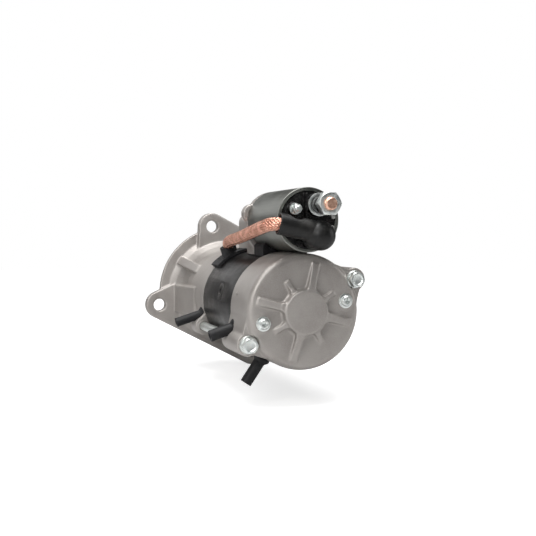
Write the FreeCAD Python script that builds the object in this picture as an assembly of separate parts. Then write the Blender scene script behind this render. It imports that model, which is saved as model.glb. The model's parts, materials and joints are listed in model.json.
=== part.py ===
"""Starter motor, 24 volt class: coaxial, with a planetary reduction gear and a pinion that stands ahead of the flange.

Units are millimetres. The origin is the centre of the pilot spigot on the flange's mounting face.
+Y runs along the shaft from the rear cover towards the pinion, +Z points up to the solenoid, +X to the right
as seen from the rear cover. Every piece is written to parts/NODE.step.
"""
import FreeCAD, Part
import math
import os

os.makedirs("parts", exist_ok=True)
Vector = FreeCAD.Vector

# ---- fits ----
running = 0.05          # radial clearance of a shaft in its bore
gap = 0.3               # clearance between pieces that must not touch

# ---- mounting flange and front bracket ----
flange_radius = 69.0
flange_thickness = 6.0
ear_thickness = 10.0
ear_radius = 14.0
ear_circle = 71.0       # radius of the circle through the three bolt holes
ear_angles = (101.0, 189.5, 295.0)
ear_spread = 31.0       # degrees from an ear's hole to where its pad meets the body
ear_hole_radius = 6.25
chord_distance = 57.0   # straight edge of the flange between the left and the lower ear
chord_angle = 242.3
pilot_radius = 44.5
pilot_length = 8.0
bracket_length = 102.0
bracket_rim_radius = 46.0
bracket_radius = 44.5
bracket_bore = 40.5
front_wall = 10.0       # from the mounting face back to the front bearing

# ---- yoke ----
yoke_length = 100.0
yoke_radius = 46.0
yoke_wall = 3.5
pole_count = 4
pole_angle = 75.5       # the first pole screw, degrees from +X
pole_screw_offset = 10.0    # from the middle of the core forward to the pole screws
pole_screw_radius = 8.5

# ---- rear cover ----
cover_length = 52.0
cover_radius = 47.0
cover_wall = 3.7
cover_end_wall = 5.0
cover_edge = 5.0        # rounding of the drum's rear edge
hub_radius = 18.1
hub_length = 6.5        # how far the bearing hub stands behind the cover's face
long_rib_end = 40.8
short_rib_end = 29.5
long_rib_width = 6.2
short_rib_width = 4.2
long_rib_height = 5.2     # at the hub, behind the cover's face
short_rib_height = 3.8
rib_angle = 31.0        # first of eight ribs, 45 degrees apart, short and long in turn
step_lip = 0.35         # raised lip over the top of the drum

# ---- through bolts, outside the yoke ----
bolt_circle = 51.7
bolt_angle = 29.1
bolt_radius = 4.0
bolt_head_flats = 11.5
bolt_head_height = 6.2
bolt_flange_radius = 7.5
bolt_flange_height = 1.5
bolt_ear_radius = 9.5
bolt_ear_spread = 25.0
bolt_seat_depth = 5.0   # the bolt seats lie this far ahead of the cover's face

# ---- brush holder ----
brush_screw_circle = 35.7
brush_screw_angle = 13.4
brush_screw_radius = 2.5
brush_screw_head_radius = 4.5
brush_screw_head_height = 3.2
brush_washer_radius = 5.9
brush_washer_thickness = 1.3
brush_width = 10.0
brush_length = 16.0
brush_angles = (58.4, 148.4, 238.4, 328.4)

# ---- armature ----
shaft_radius = 8.5
core_radius = 31.0
core_length = 50.0
core_offset = 32.0      # from the rear end of the yoke to the middle of the core
slot_count = 25
commutator_radius = 19.0
commutator_length = 26.0
pole_gap = 0.6
pole_tip_depth = 3.0

# ---- planetary reduction ----
gear_module = 1.5
sun_teeth = 12
planet_teeth = 18
ring_teeth = sun_teeth + 2 * planet_teeth
planet_count = 3
planet_width = 17.0
planet_pin_radius = 4.5
planetary_pressure = 25.0
planetary_backlash = 0.12

# ---- output shaft, clutch and pinion ----
output_radius = 12.0
spline_radius = 13.4
spline_count = 8
spline_width = 4.0
clutch_radius = 32.0
race_radius = 18.0
roller_radius = 4.15
roller_count = 5
journal_radius = 15.0
pinion_teeth = 11
pinion_module = 3.0
pinion_width = 26.0
pinion_pressure = 20.0
pinion_stand_off = 6.0  # from the mounting face to the pinion at rest

# ---- shift lever ----
lever_pivot_offset = 10.0   # from the joint of bracket and yoke forward to the pivot
lever_pivot_z = 40.0
lever_pin_radius = 4.0
lever_swing = math.radians(18.0)
collar_radius = 21.5

# ---- solenoid ----
solenoid_x = 2.0
solenoid_z = 73.4
solenoid_radius = 25.9
solenoid_length = 81.2
tower_offset = 73.5     # from the joint of bracket and yoke back to the solenoid's front face
case_wall = 2.4
tower_thickness = 9.0
tower_waist = 58.0      # the tower is as wide as the solenoid down to here
tower_foot = 19.0       # half its width where it stands on the yoke's cover
lobe_radius = 8.0
lobe_circle = 22.4
lobe_angle = 163.0
solenoid_screw_radius = 2.5
plunger_radius = 10.0
rod_radius = 4.5
cap_recess = 1.0

# ---- terminals on the cap ----
battery_x, battery_z = 9.2, 85.4
motor_x, motor_z = 7.6, 61.0
switch_x, switch_z = -10.0, 82.0
stud_radius = 5.0
nut_flats = 17.0
motor_stud_radius = 4.0
battery_sleeve_radius = 7.0     # moulded sleeve round the main stud, up to its nut
switch_stud_radius = 2.5

# ---- rubber drain tubes: angle, distance from the nearer end of the yoke, length, outer radius ----
drain_front = (197.5, 9.5, 29.0, 4.3)
drain_side = (197.5, 12.0, 24.0, 4.8)
drain_bottom = (235.5, 24.0, 25.0, 4.8)
drain_bore = 2.6
drain_foot = 2.3        # how much wider the foot is than the tube

# ---- motor lead: a braided copper lead from the yoke to the solenoid ----
lead_radius = 5.2
lead_angle = 117.4      # where the lead leaves the yoke
lead_side = 33.0        # from the solenoid's axis out to the lead's long run
grommet_angle = 119.0
grommet_length = 18.0   # how far the grommet's notch reaches back over the joint

# ---- places worked out from the sizes above ----
yoke_front = -bracket_length
yoke_rear = yoke_front - yoke_length
cover_face = yoke_rear - cover_length
hub_face = cover_face - hub_length
bolt_seat = cover_face + bolt_seat_depth
bolt_end = yoke_front + 16.0
core_centre = yoke_rear + core_offset
pole_screw_y = core_centre + pole_screw_offset
lever_pivot_y = yoke_front + lever_pivot_offset
solenoid_front = yoke_front - tower_offset
solenoid_rear = solenoid_front - solenoid_length
cap_face = solenoid_rear + cap_recess
yoke_bore = yoke_radius - yoke_wall
travel = (solenoid_z - lever_pivot_z) * math.sin(lever_swing)
drive_travel = lever_pivot_z * math.sin(lever_swing)
winding_bore = plunger_radius + 1.6
rod_room_radius = plunger_radius + 4.3    # room for the return spring round the rod
battery_stud_end = cap_face - 33.5
battery_seat = cap_face - 6.0
switch_stud_end = cap_face - 13.0
Y_AXIS = Vector(0, 1, 0)


def save(name, shape):
    shape.exportStep("parts/%s.step" % name)


def cylinder(radius, y0, y1, x=0.0, z=0.0):
    return Part.makeCylinder(radius, y1 - y0, Vector(x, y0, z), Y_AXIS)


def tube(outer, inner, y0, y1, x=0.0, z=0.0):
    return cylinder(outer, y0, y1, x, z).cut(cylinder(inner, y0 - 1, y1 + 1, x, z))


def cone(radius0, radius1, y0, y1, x=0.0, z=0.0):
    return Part.makeCone(radius0, radius1, y1 - y0, Vector(x, y0, z), Y_AXIS)


def box(x0, x1, y0, y1, z0, z1):
    return Part.makeBox(x1 - x0, y1 - y0, z1 - z0, Vector(x0, y0, z0))


def polar(radius, degrees, y=0.0):
    a = math.radians(degrees)
    return Vector(radius * math.cos(a), y, radius * math.sin(a))


def turned(shape, degrees, x=0.0, z=0.0):
    """The shape turned about the Y axis, from +X towards +Z."""
    copy = shape.copy()
    copy.rotate(Vector(x, 0, z), Y_AXIS, -degrees)
    return copy


def around(shape, angles):
    return [turned(shape, a) for a in angles]


def evenly(count, first=0.0):
    return [first + 360.0 * i / count for i in range(count)]


def plate(points, y0, y1):
    """A flat plate: the outline (x, z) from y0 to y1."""
    corners = [Vector(x, y0, z) for x, z in points]
    face = Part.Face(Part.makePolygon(corners + corners[:1]))
    return face.extrude(Vector(0, y1 - y0, 0))


def revolved(points):
    """A solid of revolution about the shaft from a closed outline of (y, radius)."""
    corners = [Vector(r, y, 0) for y, r in points]
    face = Part.Face(Part.makePolygon(corners + corners[:1]))
    return face.revolve(Vector(0, 0, 0), Y_AXIS, 360)


def hexagon(flats, y0, y1, x=0.0, z=0.0, lead_in=True):
    corner = flats / math.sqrt(3.0)
    points = [(x + corner * math.cos(math.radians(a)), z + corner * math.sin(math.radians(a)))
              for a in evenly(6)]
    prism = plate(points, y0, y1)
    if lead_in:
        depth = (corner - flats / 2.0) * 1.2
        prism = prism.common(cone(flats / 2.0, flats / 2.0 + (y1 - y0) / depth * (corner - flats / 2.0),
                                  y0, y1, x, z))
    return prism


def sector(inner, outer, y0, y1, half_angle):
    """Part of a ring, centred on +X."""
    ring = tube(outer, inner, y0, y1)
    reach = 2.0 * outer
    rise = reach * math.tan(math.radians(half_angle))
    return ring.common(plate([(0, 0), (reach, -rise), (reach, rise)], y0, y1))


def all_of(shapes):
    return shapes[0].multiFuse(shapes[1:]).removeSplitter()


def without(shape, cutters):
    for cutter in cutters:
        shape = shape.cut(cutter)
    return shape


def involute(base, radius):
    """The polar angle of the involute of a base circle, where it reaches the radius."""
    if radius <= base:
        return 0.0
    t = math.sqrt((radius / base) ** 2 - 1.0)
    return t - math.atan(t)


def gear_outline(teeth, module, pressure, root, tip, backlash, steps=5):
    """Outline (x, z) of a gear whose first tooth lies on +X; backlash thins the tooth at the pitch circle."""
    pitch = module * teeth / 2.0
    base = pitch * math.cos(math.radians(pressure))
    half_pitch = math.pi / (2.0 * teeth) - backlash / (2.0 * pitch) + involute(base, pitch)
    start = max(root, base)
    radii = [start + (tip - start) * i / steps for i in range(steps + 1)]
    flank = [(root, half_pitch)] if root < base - 1e-6 else []
    flank += [(r, half_pitch - involute(base, r)) for r in radii]
    points = []
    for tooth in range(teeth):
        middle = 2.0 * math.pi * tooth / teeth
        for r, half in flank:
            points.append((r * math.cos(middle - half), r * math.sin(middle - half)))
        for r, half in reversed(flank):
            points.append((r * math.cos(middle + half), r * math.sin(middle + half)))
    return points


# ---- rear cover: an aluminium die casting with a bearing hub and eight stiffening ribs ----

def bolt_ear(drum_radius, y0, y1):
    """An ear that carries a through bolt and runs tangentially into the drum, at the bolt's angle."""
    half = math.radians(bolt_ear_spread)
    reach = math.hypot(bolt_circle - drum_radius * math.cos(half), drum_radius * math.sin(half))
    slope = math.atan2(drum_radius * math.sin(half), bolt_circle - drum_radius * math.cos(half))
    lean = math.pi / 2.0 - (math.acos(bolt_ear_radius / reach) - slope) - math.pi / 2.0
    upper = (bolt_circle + bolt_ear_radius * math.sin(lean), bolt_ear_radius * math.cos(lean))
    side = (drum_radius * math.cos(half), drum_radius * math.sin(half))
    wedge = plate([(drum_radius * 0.6, 0), (side[0], -side[1]), (upper[0], -upper[1]), upper, side], y0, y1)
    return turned(wedge.fuse(cylinder(bolt_ear_radius, y0, y1, bolt_circle)), bolt_angle)


def rear_cover():
    edge = [(cover_face + cover_edge * (1 - math.cos(math.radians(a))),
             cover_radius - cover_edge * (1 - math.sin(math.radians(a)))) for a in (0, 22.5, 45, 67.5, 90)]
    drum = revolved([(yoke_rear, 0), (cover_face, 0)] + edge + [(yoke_rear, cover_radius)])
    ears = [bolt_ear(cover_radius, bolt_seat, yoke_rear)]
    ears.append(turned(ears[0], 180))
    lip = sector(cover_radius - 2, cover_radius + step_lip, yoke_rear - 26, yoke_rear, 30)
    hub = revolved([(cover_face + 1, 0), (hub_face, 0), (hub_face, hub_radius - 1.2),
                    (hub_face + 0.4, hub_radius - 0.4), (hub_face + 1.2, hub_radius),
                    (cover_face - 1.5, hub_radius + 0.3), (cover_face + 1, hub_radius + 2.4)])
    ribs = []
    for i, angle in enumerate(evenly(8, rib_angle)):
        end, width = ((short_rib_end, short_rib_width), (long_rib_end, long_rib_width))[i % 2]
        height = (short_rib_height, long_rib_height)[i % 2]
        root = 1.5 + 0.5 * width
        outline = [(cover_face + 1, 10), (cover_face + 1, end), (cover_face - 1.2, end - 0.6),
                   (cover_face - height, hub_radius)]
        corners = [Vector(r, y, -width / 2.0) for y, r in outline + [(cover_face - height, 10)]]
        rib = Part.Face(Part.makePolygon(corners + corners[:1])).extrude(Vector(0, 0, width))
        flare = plate([(hub_radius - 3, -root - 1.2), (hub_radius + 3.0, -width / 2.0),
                       (hub_radius + 3.0, width / 2.0), (hub_radius - 3, root + 1.2)],
                      cover_face - height, cover_face + 1)
        ribs += [turned(rib, angle), turned(flare, angle)]
    pads = [turned(cylinder(brush_washer_radius + 1.2, cover_face - 0.5, cover_face + 2, brush_screw_circle), a)
            for a in (brush_screw_angle, brush_screw_angle + 180)]
    cover = all_of([drum] + ears + [turned(lip, 90), hub] + ribs + pads)
    inside = cylinder(cover_radius - cover_wall, cover_face + cover_end_wall, yoke_rear + 1)
    spigot_recess = cylinder(yoke_bore + 1.5, yoke_rear - 3, yoke_rear + 1)
    pocket = cylinder(14.0, hub_face + 2.8, cover_face + cover_end_wall + 1)
    shaft_room = cylinder(9.0, hub_face + 1.8, hub_face + 3)
    holes = [turned(cylinder(bolt_radius + gap, bolt_seat - 1, yoke_rear + 1, bolt_circle), a)
             for a in (bolt_angle, bolt_angle + 180)]
    holes += [turned(cylinder(brush_screw_radius + gap, cover_face - 9, cover_face + 9, brush_screw_circle), a)
              for a in (brush_screw_angle, brush_screw_angle + 180)]
    seats = [turned(cylinder(bolt_flange_radius + 0.6, cover_face - 9, bolt_seat, bolt_circle), a)
             for a in (bolt_angle, bolt_angle + 180)]
    drains = [drain_hole(drain_side, yoke_rear, cover_radius), drain_hole(drain_bottom, yoke_rear, cover_radius)]
    return without(cover, [inside, spigot_recess, pocket, shaft_room] + holes + seats + drains)


# ---- rubber drain tubes: a hollow tube with a wide foot that buttons into the casting ----

def radial_cylinder(radius, r0, r1, angle, y):
    start = polar(r0, angle, y)
    return Part.makeCylinder(radius, r1 - r0, start, polar(1, angle))


def drain_hole(sizes, joint, surface):
    angle, offset, length, radius = sizes
    y = joint + offset if joint == yoke_front else joint - offset
    return radial_cylinder(radius + 0.4, surface - 12, surface + 14, angle, y)


def drain_tube(sizes, joint, surface, casting):
    angle, offset, length, radius = sizes
    y = joint + offset if joint == yoke_front else joint - offset
    stem = radial_cylinder(radius + 0.4, surface - 6, surface + 3, angle, y)
    end = radial_cylinder(radius, surface + 2, surface + length, angle, y)
    taper = Part.makeCone(radius + drain_foot, radius, 2.5, polar(surface + 2.0, angle, y), polar(1, angle))
    foot = radial_cylinder(radius + drain_foot, surface - 2, surface + 2.0, angle, y)
    bolts = turned(cylinder(bolt_radius + gap, bolt_seat, yoke_front + 20, bolt_circle), bolt_angle + 180)
    collar = without(all_of([foot, taper]), [casting, bolts])
    bore = radial_cylinder(drain_bore, surface - 8, surface + length + 3, angle, y)
    return all_of([collar, stem, end]).cut(bore)


# ---- yoke: a painted steel tube that carries the pole shoes ----

def yoke():
    shell = tube(yoke_radius, yoke_bore, yoke_rear, yoke_front)
    screw_holes = [radial_cylinder(3.2, yoke_bore - 2, yoke_radius + 2, a, pole_screw_y)
                   for a in evenly(pole_count, pole_angle)]
    screw_sinks = [radial_cylinder(pole_screw_radius, yoke_radius - 1.2, yoke_radius + 2, a, pole_screw_y)
                   for a in evenly(pole_count, pole_angle)]
    return without(shell, screw_holes + screw_sinks + [grommet_slot()])


def pole_screws():
    heads = []
    for a in evenly(pole_count, pole_angle):
        head = radial_cylinder(pole_screw_radius - 0.4, yoke_radius - 1.2, yoke_radius - 0.1, a, pole_screw_y)
        shank = radial_cylinder(3.0, yoke_bore - 5.5, yoke_radius - 1.0, a, pole_screw_y)
        socket = radial_cylinder(3.4, yoke_radius - 0.9, yoke_radius + 1, a, pole_screw_y)
        heads.append(head.fuse(shank).cut(socket))
    return Part.makeCompound(heads)


def pole_shoes():
    shoes = []
    face = core_radius + pole_gap
    y0, y1 = core_centre - core_length / 2 - 2, core_centre + core_length / 2 + 2
    tip = sector(face, face + pole_tip_depth, y0, y1, 31)
    neck = sector(face + 1, yoke_bore, y0 + 6, y1 - 6, 16)
    for a in evenly(pole_count, pole_angle):
        hole = radial_cylinder(3.0, yoke_bore - 5.5, yoke_bore + 2, a, pole_screw_y)
        shoes.append(turned(tip.fuse(neck), a).cut(hole))
    return Part.makeCompound(shoes)


def field_coils():
    inner = core_radius + pole_gap + pole_tip_depth + gap
    y0, y1 = core_centre - core_length / 2 - 6, core_centre + core_length / 2 + 6
    outer_loop = sector(inner, yoke_bore - 0.8, y0, y1, 32)
    window = sector(inner - 2, yoke_bore + 2, y0 + 9, y1 - 9, 18)
    return Part.makeCompound(around(outer_loop.cut(window), evenly(pole_count, pole_angle)))


# ---- armature ----

def armature_shaft():
    rear = cylinder(6.0, hub_face + 3.0, cover_face + 6)
    main = cylinder(shaft_radius, cover_face + 6, sun_rear)
    return all_of([rear, main, sun_gear()])


def armature_core():
    y0, y1 = core_centre - core_length / 2, core_centre + core_length / 2
    stack = tube(core_radius, shaft_radius, y0, y1)
    mouth = box(core_radius - 2.5, core_radius + 1, y0 - 1, y1 + 1, -1.2, 1.2)
    pocket = box(core_radius - 10.5, core_radius - 2.4, y0 - 1, y1 + 1, -2.2, 2.2)
    slot = mouth.fuse(pocket)
    return without(stack, [Part.makeCompound(around(slot, evenly(slot_count)))])


def armature_windings():
    """The bars in the slots and the wound ends each side of the core, as one potted winding."""
    y0, y1 = core_centre - core_length / 2, core_centre + core_length / 2
    bar = box(core_radius - 10.2, core_radius - 2.9, y0 - 0.5, y1 + 0.5, -1.9, 1.9)
    front = revolved([(y1, 15), (y1, core_radius - 2.5), (y1 + 6, core_radius - 3.2), (y1 + 9, core_radius - 7),
                      (y1 + 9, 15)])
    rear = revolved([(y0, 15), (y0, core_radius - 2.5), (y0 - 6, core_radius - 3.2), (y0 - 11, core_radius - 9),
                     (y0 - 11, 15)])
    return all_of([front, rear] + around(bar, evenly(slot_count)))


def commutator():
    y1 = core_centre - core_length / 2 - 11
    y0 = y1 - commutator_length - 4
    drum = revolved([(y0, shaft_radius), (y0, commutator_radius), (y1 - 4, commutator_radius),
                     (y1 - 4, commutator_radius + 3), (y1, commutator_radius + 3), (y1, shaft_radius)])
    groove = box(commutator_radius - 0.8, commutator_radius + 4, y0 - 1, y1 + 1, -0.35, 0.35)
    return without(drum, [Part.makeCompound(around(groove, evenly(slot_count)))])


# ---- planetary reduction ----
carrier_front = yoke_front + 1.0
carrier_rear = carrier_front - 6.0
planet_front = carrier_rear - 1.5
planet_rear = planet_front - planet_width
sun_rear = planet_rear - 1.0
sun_pitch = gear_module * sun_teeth / 2.0
planet_pitch = gear_module * planet_teeth / 2.0
ring_pitch = gear_module * ring_teeth / 2.0
planet_circle = sun_pitch + planet_pitch
planet_angles = evenly(planet_count, 90.0)


def sun_gear():
    """The teeth cut on the front end of the armature shaft."""
    outline = gear_outline(sun_teeth, gear_module, planetary_pressure, sun_pitch - 1.2 * gear_module,
                           sun_pitch + 0.9 * gear_module, planetary_backlash)
    return turned(plate(outline, sun_rear - 0.5, sun_rear + planet_width + 2.0), 90)


def planet_gear(angle):
    outline = gear_outline(planet_teeth, gear_module, planetary_pressure, planet_pitch - 1.2 * gear_module,
                           planet_pitch + 0.9 * gear_module, planetary_backlash)
    wheel = plate(outline, planet_rear, planet_front)
    wheel = wheel.cut(cylinder(planet_pin_radius + running, planet_rear - 1, planet_front + 1))
    wheel = turned(wheel, angle + 180.0 / planet_teeth)
    wheel.translate(polar(planet_circle, angle))
    return wheel


def ring_gear():
    """Internal teeth: the space between two teeth has the shape of a planet's tooth with its clearance."""
    outline = gear_outline(ring_teeth, gear_module, planetary_pressure, ring_pitch - 0.9 * gear_module,
                           ring_pitch + 1.25 * gear_module, -planetary_backlash)
    space = turned(plate(outline, planet_rear - 2, planet_front + 2), 90 + 180.0 / ring_teeth)
    blank = cylinder(yoke_bore - 0.1, planet_rear - 1, planet_front + 0.7)
    return blank.cut(space)


def centre_plate():
    """The disc between the armature and the gears, with the armature's front bush pressed in."""
    y1 = planet_rear - 1.0
    return tube(yoke_bore - 0.1, 11.0, y1 - 3.0, y1)


def armature_bush():
    y1 = sun_rear - 0.7
    return tube(11.0, shaft_radius + running, y1 - 4.5, y1)


def gear_support_plate():
    """Steel plate ahead of the ring gear: it locates the yoke and the bracket and holds the carrier's bush."""
    return tube(yoke_bore - 0.1, 34.0, planet_front + 0.7, carrier_front)


def carrier_bush():
    return tube(34.0, 31.0 + running, planet_front + 0.7, carrier_front)


spline_front = carrier_front + 33.0


def output_shaft():
    """Planet carrier and output shaft, forged in one piece, with sliding splines for the clutch."""
    carrier = cylinder(31.0, carrier_rear, carrier_front)
    hub = cylinder(16.5, carrier_front, carrier_front + 1.0)
    spline = cylinder(spline_radius, carrier_front, spline_front)
    groove = box(output_radius, spline_radius + 2, carrier_front + 1.0, spline_front + 1.0,
                 -spline_width / 2, spline_width / 2)
    spline = without(spline, [Part.makeCompound(around(groove, evenly(spline_count)))])
    shaft = cylinder(output_radius, spline_front - 1.0, pinion_stand_off + pinion_width - 2.0)
    whole = all_of([carrier, hub, spline, shaft])
    holes = [cylinder(planet_pin_radius, carrier_rear - 1, carrier_front + 1, polar(planet_circle, a).x,
                      polar(planet_circle, a).z) for a in planet_angles]
    return without(whole, holes + [cylinder(6.5, carrier_rear - 1, carrier_rear + 4)])


def planet_pins():
    pins = []
    for a in planet_angles:
        centre = polar(planet_circle, a)
        pin = cylinder(planet_pin_radius, planet_rear + 0.3, carrier_front, centre.x, centre.z)
        pins.append(pin)
    return Part.makeCompound(pins)


# ---- roller clutch and pinion ----
clutch_rear = carrier_front + 1.5
drum_rear = clutch_rear + 19.5
drum_front = drum_rear + 31.0
race_rear = drum_rear + 14.0
race_front = drum_front - 0.2
roller_circle = race_radius + running + roller_radius
pinion_rear = pinion_stand_off
pinion_front = pinion_rear + pinion_width


def clutch_housing():
    """Splined sleeve and clutch drum in one forging, with a cam pocket for each roller."""
    sleeve = tube(17.0, spline_radius + running, clutch_rear, drum_rear + 1)
    key = box(output_radius + running, spline_radius + 1.5, clutch_rear, drum_rear - 2,
              -spline_width / 2 + running, spline_width / 2 - running)
    drum = cylinder(clutch_radius, drum_rear, drum_front)
    bore = cylinder(race_radius + 0.6, drum_rear + 6, drum_front + 1)
    opening = cylinder(spline_radius + running, drum_rear - 1, drum_rear + 7)
    pocket = cylinder(roller_radius + 0.25, drum_rear + 6, drum_front + 1, roller_circle + 0.1)
    ramp = box(race_radius - 1, roller_circle + 2.2, drum_rear + 6, drum_front + 1, 0, roller_radius + 3.2)
    whole = all_of([sleeve, drum.cut(bore).cut(opening)] + around(key, evenly(spline_count)))
    return without(whole, around(pocket.fuse(ramp), evenly(roller_count)))


def clutch_rollers():
    """The rollers, and in each cam pocket a folded spring that pushes its roller into the wedge."""
    roller = cylinder(roller_radius, race_rear + 1, race_front - 1, roller_circle)
    spring = box(race_radius + 1.6, race_radius + 5.4, race_rear + 4, race_front - 4,
                 roller_radius + 0.4, roller_radius + 2.9)
    return Part.makeCompound(around(roller, evenly(roller_count)) + around(spring, evenly(roller_count)))


def clutch_cover():
    return tube(clutch_radius, journal_radius + 0.6, drum_front, drum_front + 4.0)


def lever_collar():
    """Two flanges on the clutch sleeve; the fork of the shift lever works between them."""
    y0 = clutch_rear
    rear = tube(collar_radius, 17.0, y0, lever_pivot_y - 3.3)
    groove = tube(18.4, 17.0, lever_pivot_y - 3.4, lever_pivot_y + 3.4)
    front = tube(collar_radius, 17.0, lever_pivot_y + 3.3, lever_pivot_y + 6.3)
    return all_of([rear, groove, front])


def pinion():
    """Inner race, bearing journal and pinion teeth in one piece."""
    pitch = pinion_module * pinion_teeth / 2.0
    outline = gear_outline(pinion_teeth, pinion_module, pinion_pressure, pitch - 0.95 * pinion_module,
                           pitch + 1.3 * pinion_module, -1.3)
    teeth = plate(outline, pinion_rear, pinion_front)
    tip = pitch + 1.3 * pinion_module
    teeth = teeth.common(cone(tip + pinion_width, tip - 2.2, pinion_rear, pinion_front))
    race = cylinder(race_radius, race_rear, race_front)
    journal = cylinder(journal_radius, race_front - 1, pinion_rear + 1)
    bore = cylinder(output_radius + running, race_rear - 1, pinion_front + 1)
    return all_of([race, journal, teeth]).cut(bore)


# ---- ball bearings: outer ring, inner ring, and the balls in their cage ----

def bearing_track(ball_circle, ball_radius, y):
    return Part.makeTorus(ball_circle, ball_radius + 0.08, Vector(0, y, 0), Y_AXIS)


def bearing_ring(outer, inner, y0, y1, ball_circle, ball_radius):
    return tube(outer, inner, y0, y1).cut(bearing_track(ball_circle, ball_radius, (y0 + y1) / 2.0))


def bearing_balls(count, y, ball_circle, ball_radius):
    balls = [Part.makeSphere(ball_radius, polar(ball_circle, a)) for a in evenly(count)]
    pockets = [Part.makeSphere(ball_radius + running, polar(ball_circle, a)) for a in evenly(count)]
    cage = tube(ball_circle + ball_radius * 0.28, ball_circle - ball_radius * 0.28, -1.2, 1.2)
    whole = Part.makeCompound([without(cage, pockets)] + balls)
    whole.translate(Vector(0, y, 0))
    return whole


front_bearing = {"y0": -front_wall - 16.0, "y1": -front_wall, "outer": 31.0, "bore": journal_radius + running,
                 "circle": 23.0, "ball": 4.7, "count": 9}
rear_bearing = {"y0": hub_face + 3.0, "y1": hub_face + 11.0, "outer": 14.0, "bore": 6.0,
                "circle": 10.0, "ball": 2.3, "count": 8}


def bearing(sizes):
    middle = (sizes["y0"] + sizes["y1"]) / 2.0
    shoulder = sizes["ball"] * 0.85
    outer = bearing_ring(sizes["outer"], sizes["circle"] + shoulder, sizes["y0"], sizes["y1"],
                         sizes["circle"], sizes["ball"])
    inner = bearing_ring(sizes["circle"] - shoulder, sizes["bore"], sizes["y0"], sizes["y1"],
                         sizes["circle"], sizes["ball"])
    return outer, inner, bearing_balls(sizes["count"], middle, sizes["circle"], sizes["ball"])


def front_seal():
    body = tube(24.0, journal_radius + 0.1, -front_wall + 2.5, -2.0)
    return body.cut(cone(21.5, 17.0, -5.0, -1.0).cut(cylinder(17.0, -6, 0)))


# ---- shift lever ----

def shift_lever():
    y, z = lever_pivot_y, lever_pivot_z
    arm_x0, arm_x1 = solenoid_x - 2.0, solenoid_x + 2.0
    hub = Part.makeCylinder(6.0, 12.0, Vector(solenoid_x - 6.0, y, z), Vector(1, 0, 0))
    outline = [(y - 5.0, z), (y - 2.6, z + 16), (y - 2.6, solenoid_z), (y + 2.6, solenoid_z),
               (y + 2.6, z + 16), (y + 5.0, z)]
    corners = [Vector(arm_x0, a, b) for a, b in outline]
    arm = Part.Face(Part.makePolygon(corners + corners[:1])).extrude(Vector(arm_x1 - arm_x0, 0, 0))
    head = Part.makeCylinder(4.0, arm_x1 - arm_x0, Vector(arm_x0, y, solenoid_z), Vector(1, 0, 0))
    inner, outer = collar_radius + 0.5, collar_radius + 6.0
    crown = tube(outer, inner, y - 2.5, y + 2.5).common(box(-40, 40, y - 9, y + 9, 0, 40))
    legs = [box(side * inner if side > 0 else -outer, outer if side > 0 else -inner, y - 2.5, y + 2.5, -5, 0.5)
            for side in (-1, 1)]
    neck = box(solenoid_x - 6, solenoid_x + 6, y - 2.5, y + 2.5, inner + 2.5, z - 1)
    pads = [Part.makeCylinder(3.0, inner - 18.7 + 1, Vector(side * 18.7, y, 0), Vector(side, 0, 0))
            for side in (-1, 1)]
    whole = all_of([hub, arm, head, crown, neck] + legs + pads)
    bore = Part.makeCylinder(lever_pin_radius + running, 40, Vector(-20, y, z), Vector(1, 0, 0))
    return whole.cut(bore)


def lever_pin():
    reach = math.sqrt(bracket_radius ** 2 - lever_pivot_z ** 2) - 0.3
    return Part.makeCylinder(lever_pin_radius, 2 * reach, Vector(-reach, lever_pivot_y, lever_pivot_z),
                             Vector(1, 0, 0))


# ---- front bracket: flange, gear housing, lever housing and solenoid tower in one casting ----
tower_rear = solenoid_front
tower_front = tower_rear + tower_thickness
hood_shoulder = tower_rear + 29.5       # the hood starts to narrow here
hood_waist = lever_pivot_y - 20.0
hood_front = lever_pivot_y + 10.5
hood_end = lever_pivot_y + 13.5
room_front = lever_pivot_y + 8.0        # front end of the room for the lever


def flange_outline_cut(shape):
    far = 3.0 * flange_radius
    block = box(chord_distance, far, -ear_thickness - 1, 1, -far, far)
    return shape.cut(turned(block, chord_angle))


def flange():
    disc = flange_outline_cut(cylinder(flange_radius, -flange_thickness, 0))
    pads = []
    for a in ear_angles:
        half = math.radians(ear_spread)
        foot = (bracket_radius * math.cos(half), bracket_radius * math.sin(half))
        reach = math.hypot(ear_circle - foot[0], foot[1])
        lean = math.atan2(foot[1], ear_circle - foot[0]) - (math.pi / 2.0 - math.acos(ear_radius / reach))
        top = (ear_circle + ear_radius * math.sin(lean), ear_radius * math.cos(lean))
        pad = plate([(20, 0), (foot[0], -foot[1]), (top[0], -top[1]), top, foot], -ear_thickness, 0)
        pads.append(turned(pad.fuse(cylinder(ear_radius, -ear_thickness, 0, ear_circle)), a))
    side = math.degrees(math.acos((flange_radius - ear_radius) / ear_circle))
    edges = ((ear_angles[0], ear_angles[0] - side, flange_radius), (ear_angles[1], chord_angle, chord_distance),
             (ear_angles[2], chord_angle, chord_distance), (ear_angles[2], ear_angles[2] + side, flange_radius))
    for ear_angle, normal, distance in edges:
        hole, out = polar(ear_circle, ear_angle), polar(1, normal)
        corner = hole + out * (distance - hole.dot(out))
        points = [hole, corner, out * distance, out * 20]
        pads.append(plate([(v.x, v.z) for v in points], -ear_thickness, 0))
    return all_of([disc] + pads)


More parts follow.
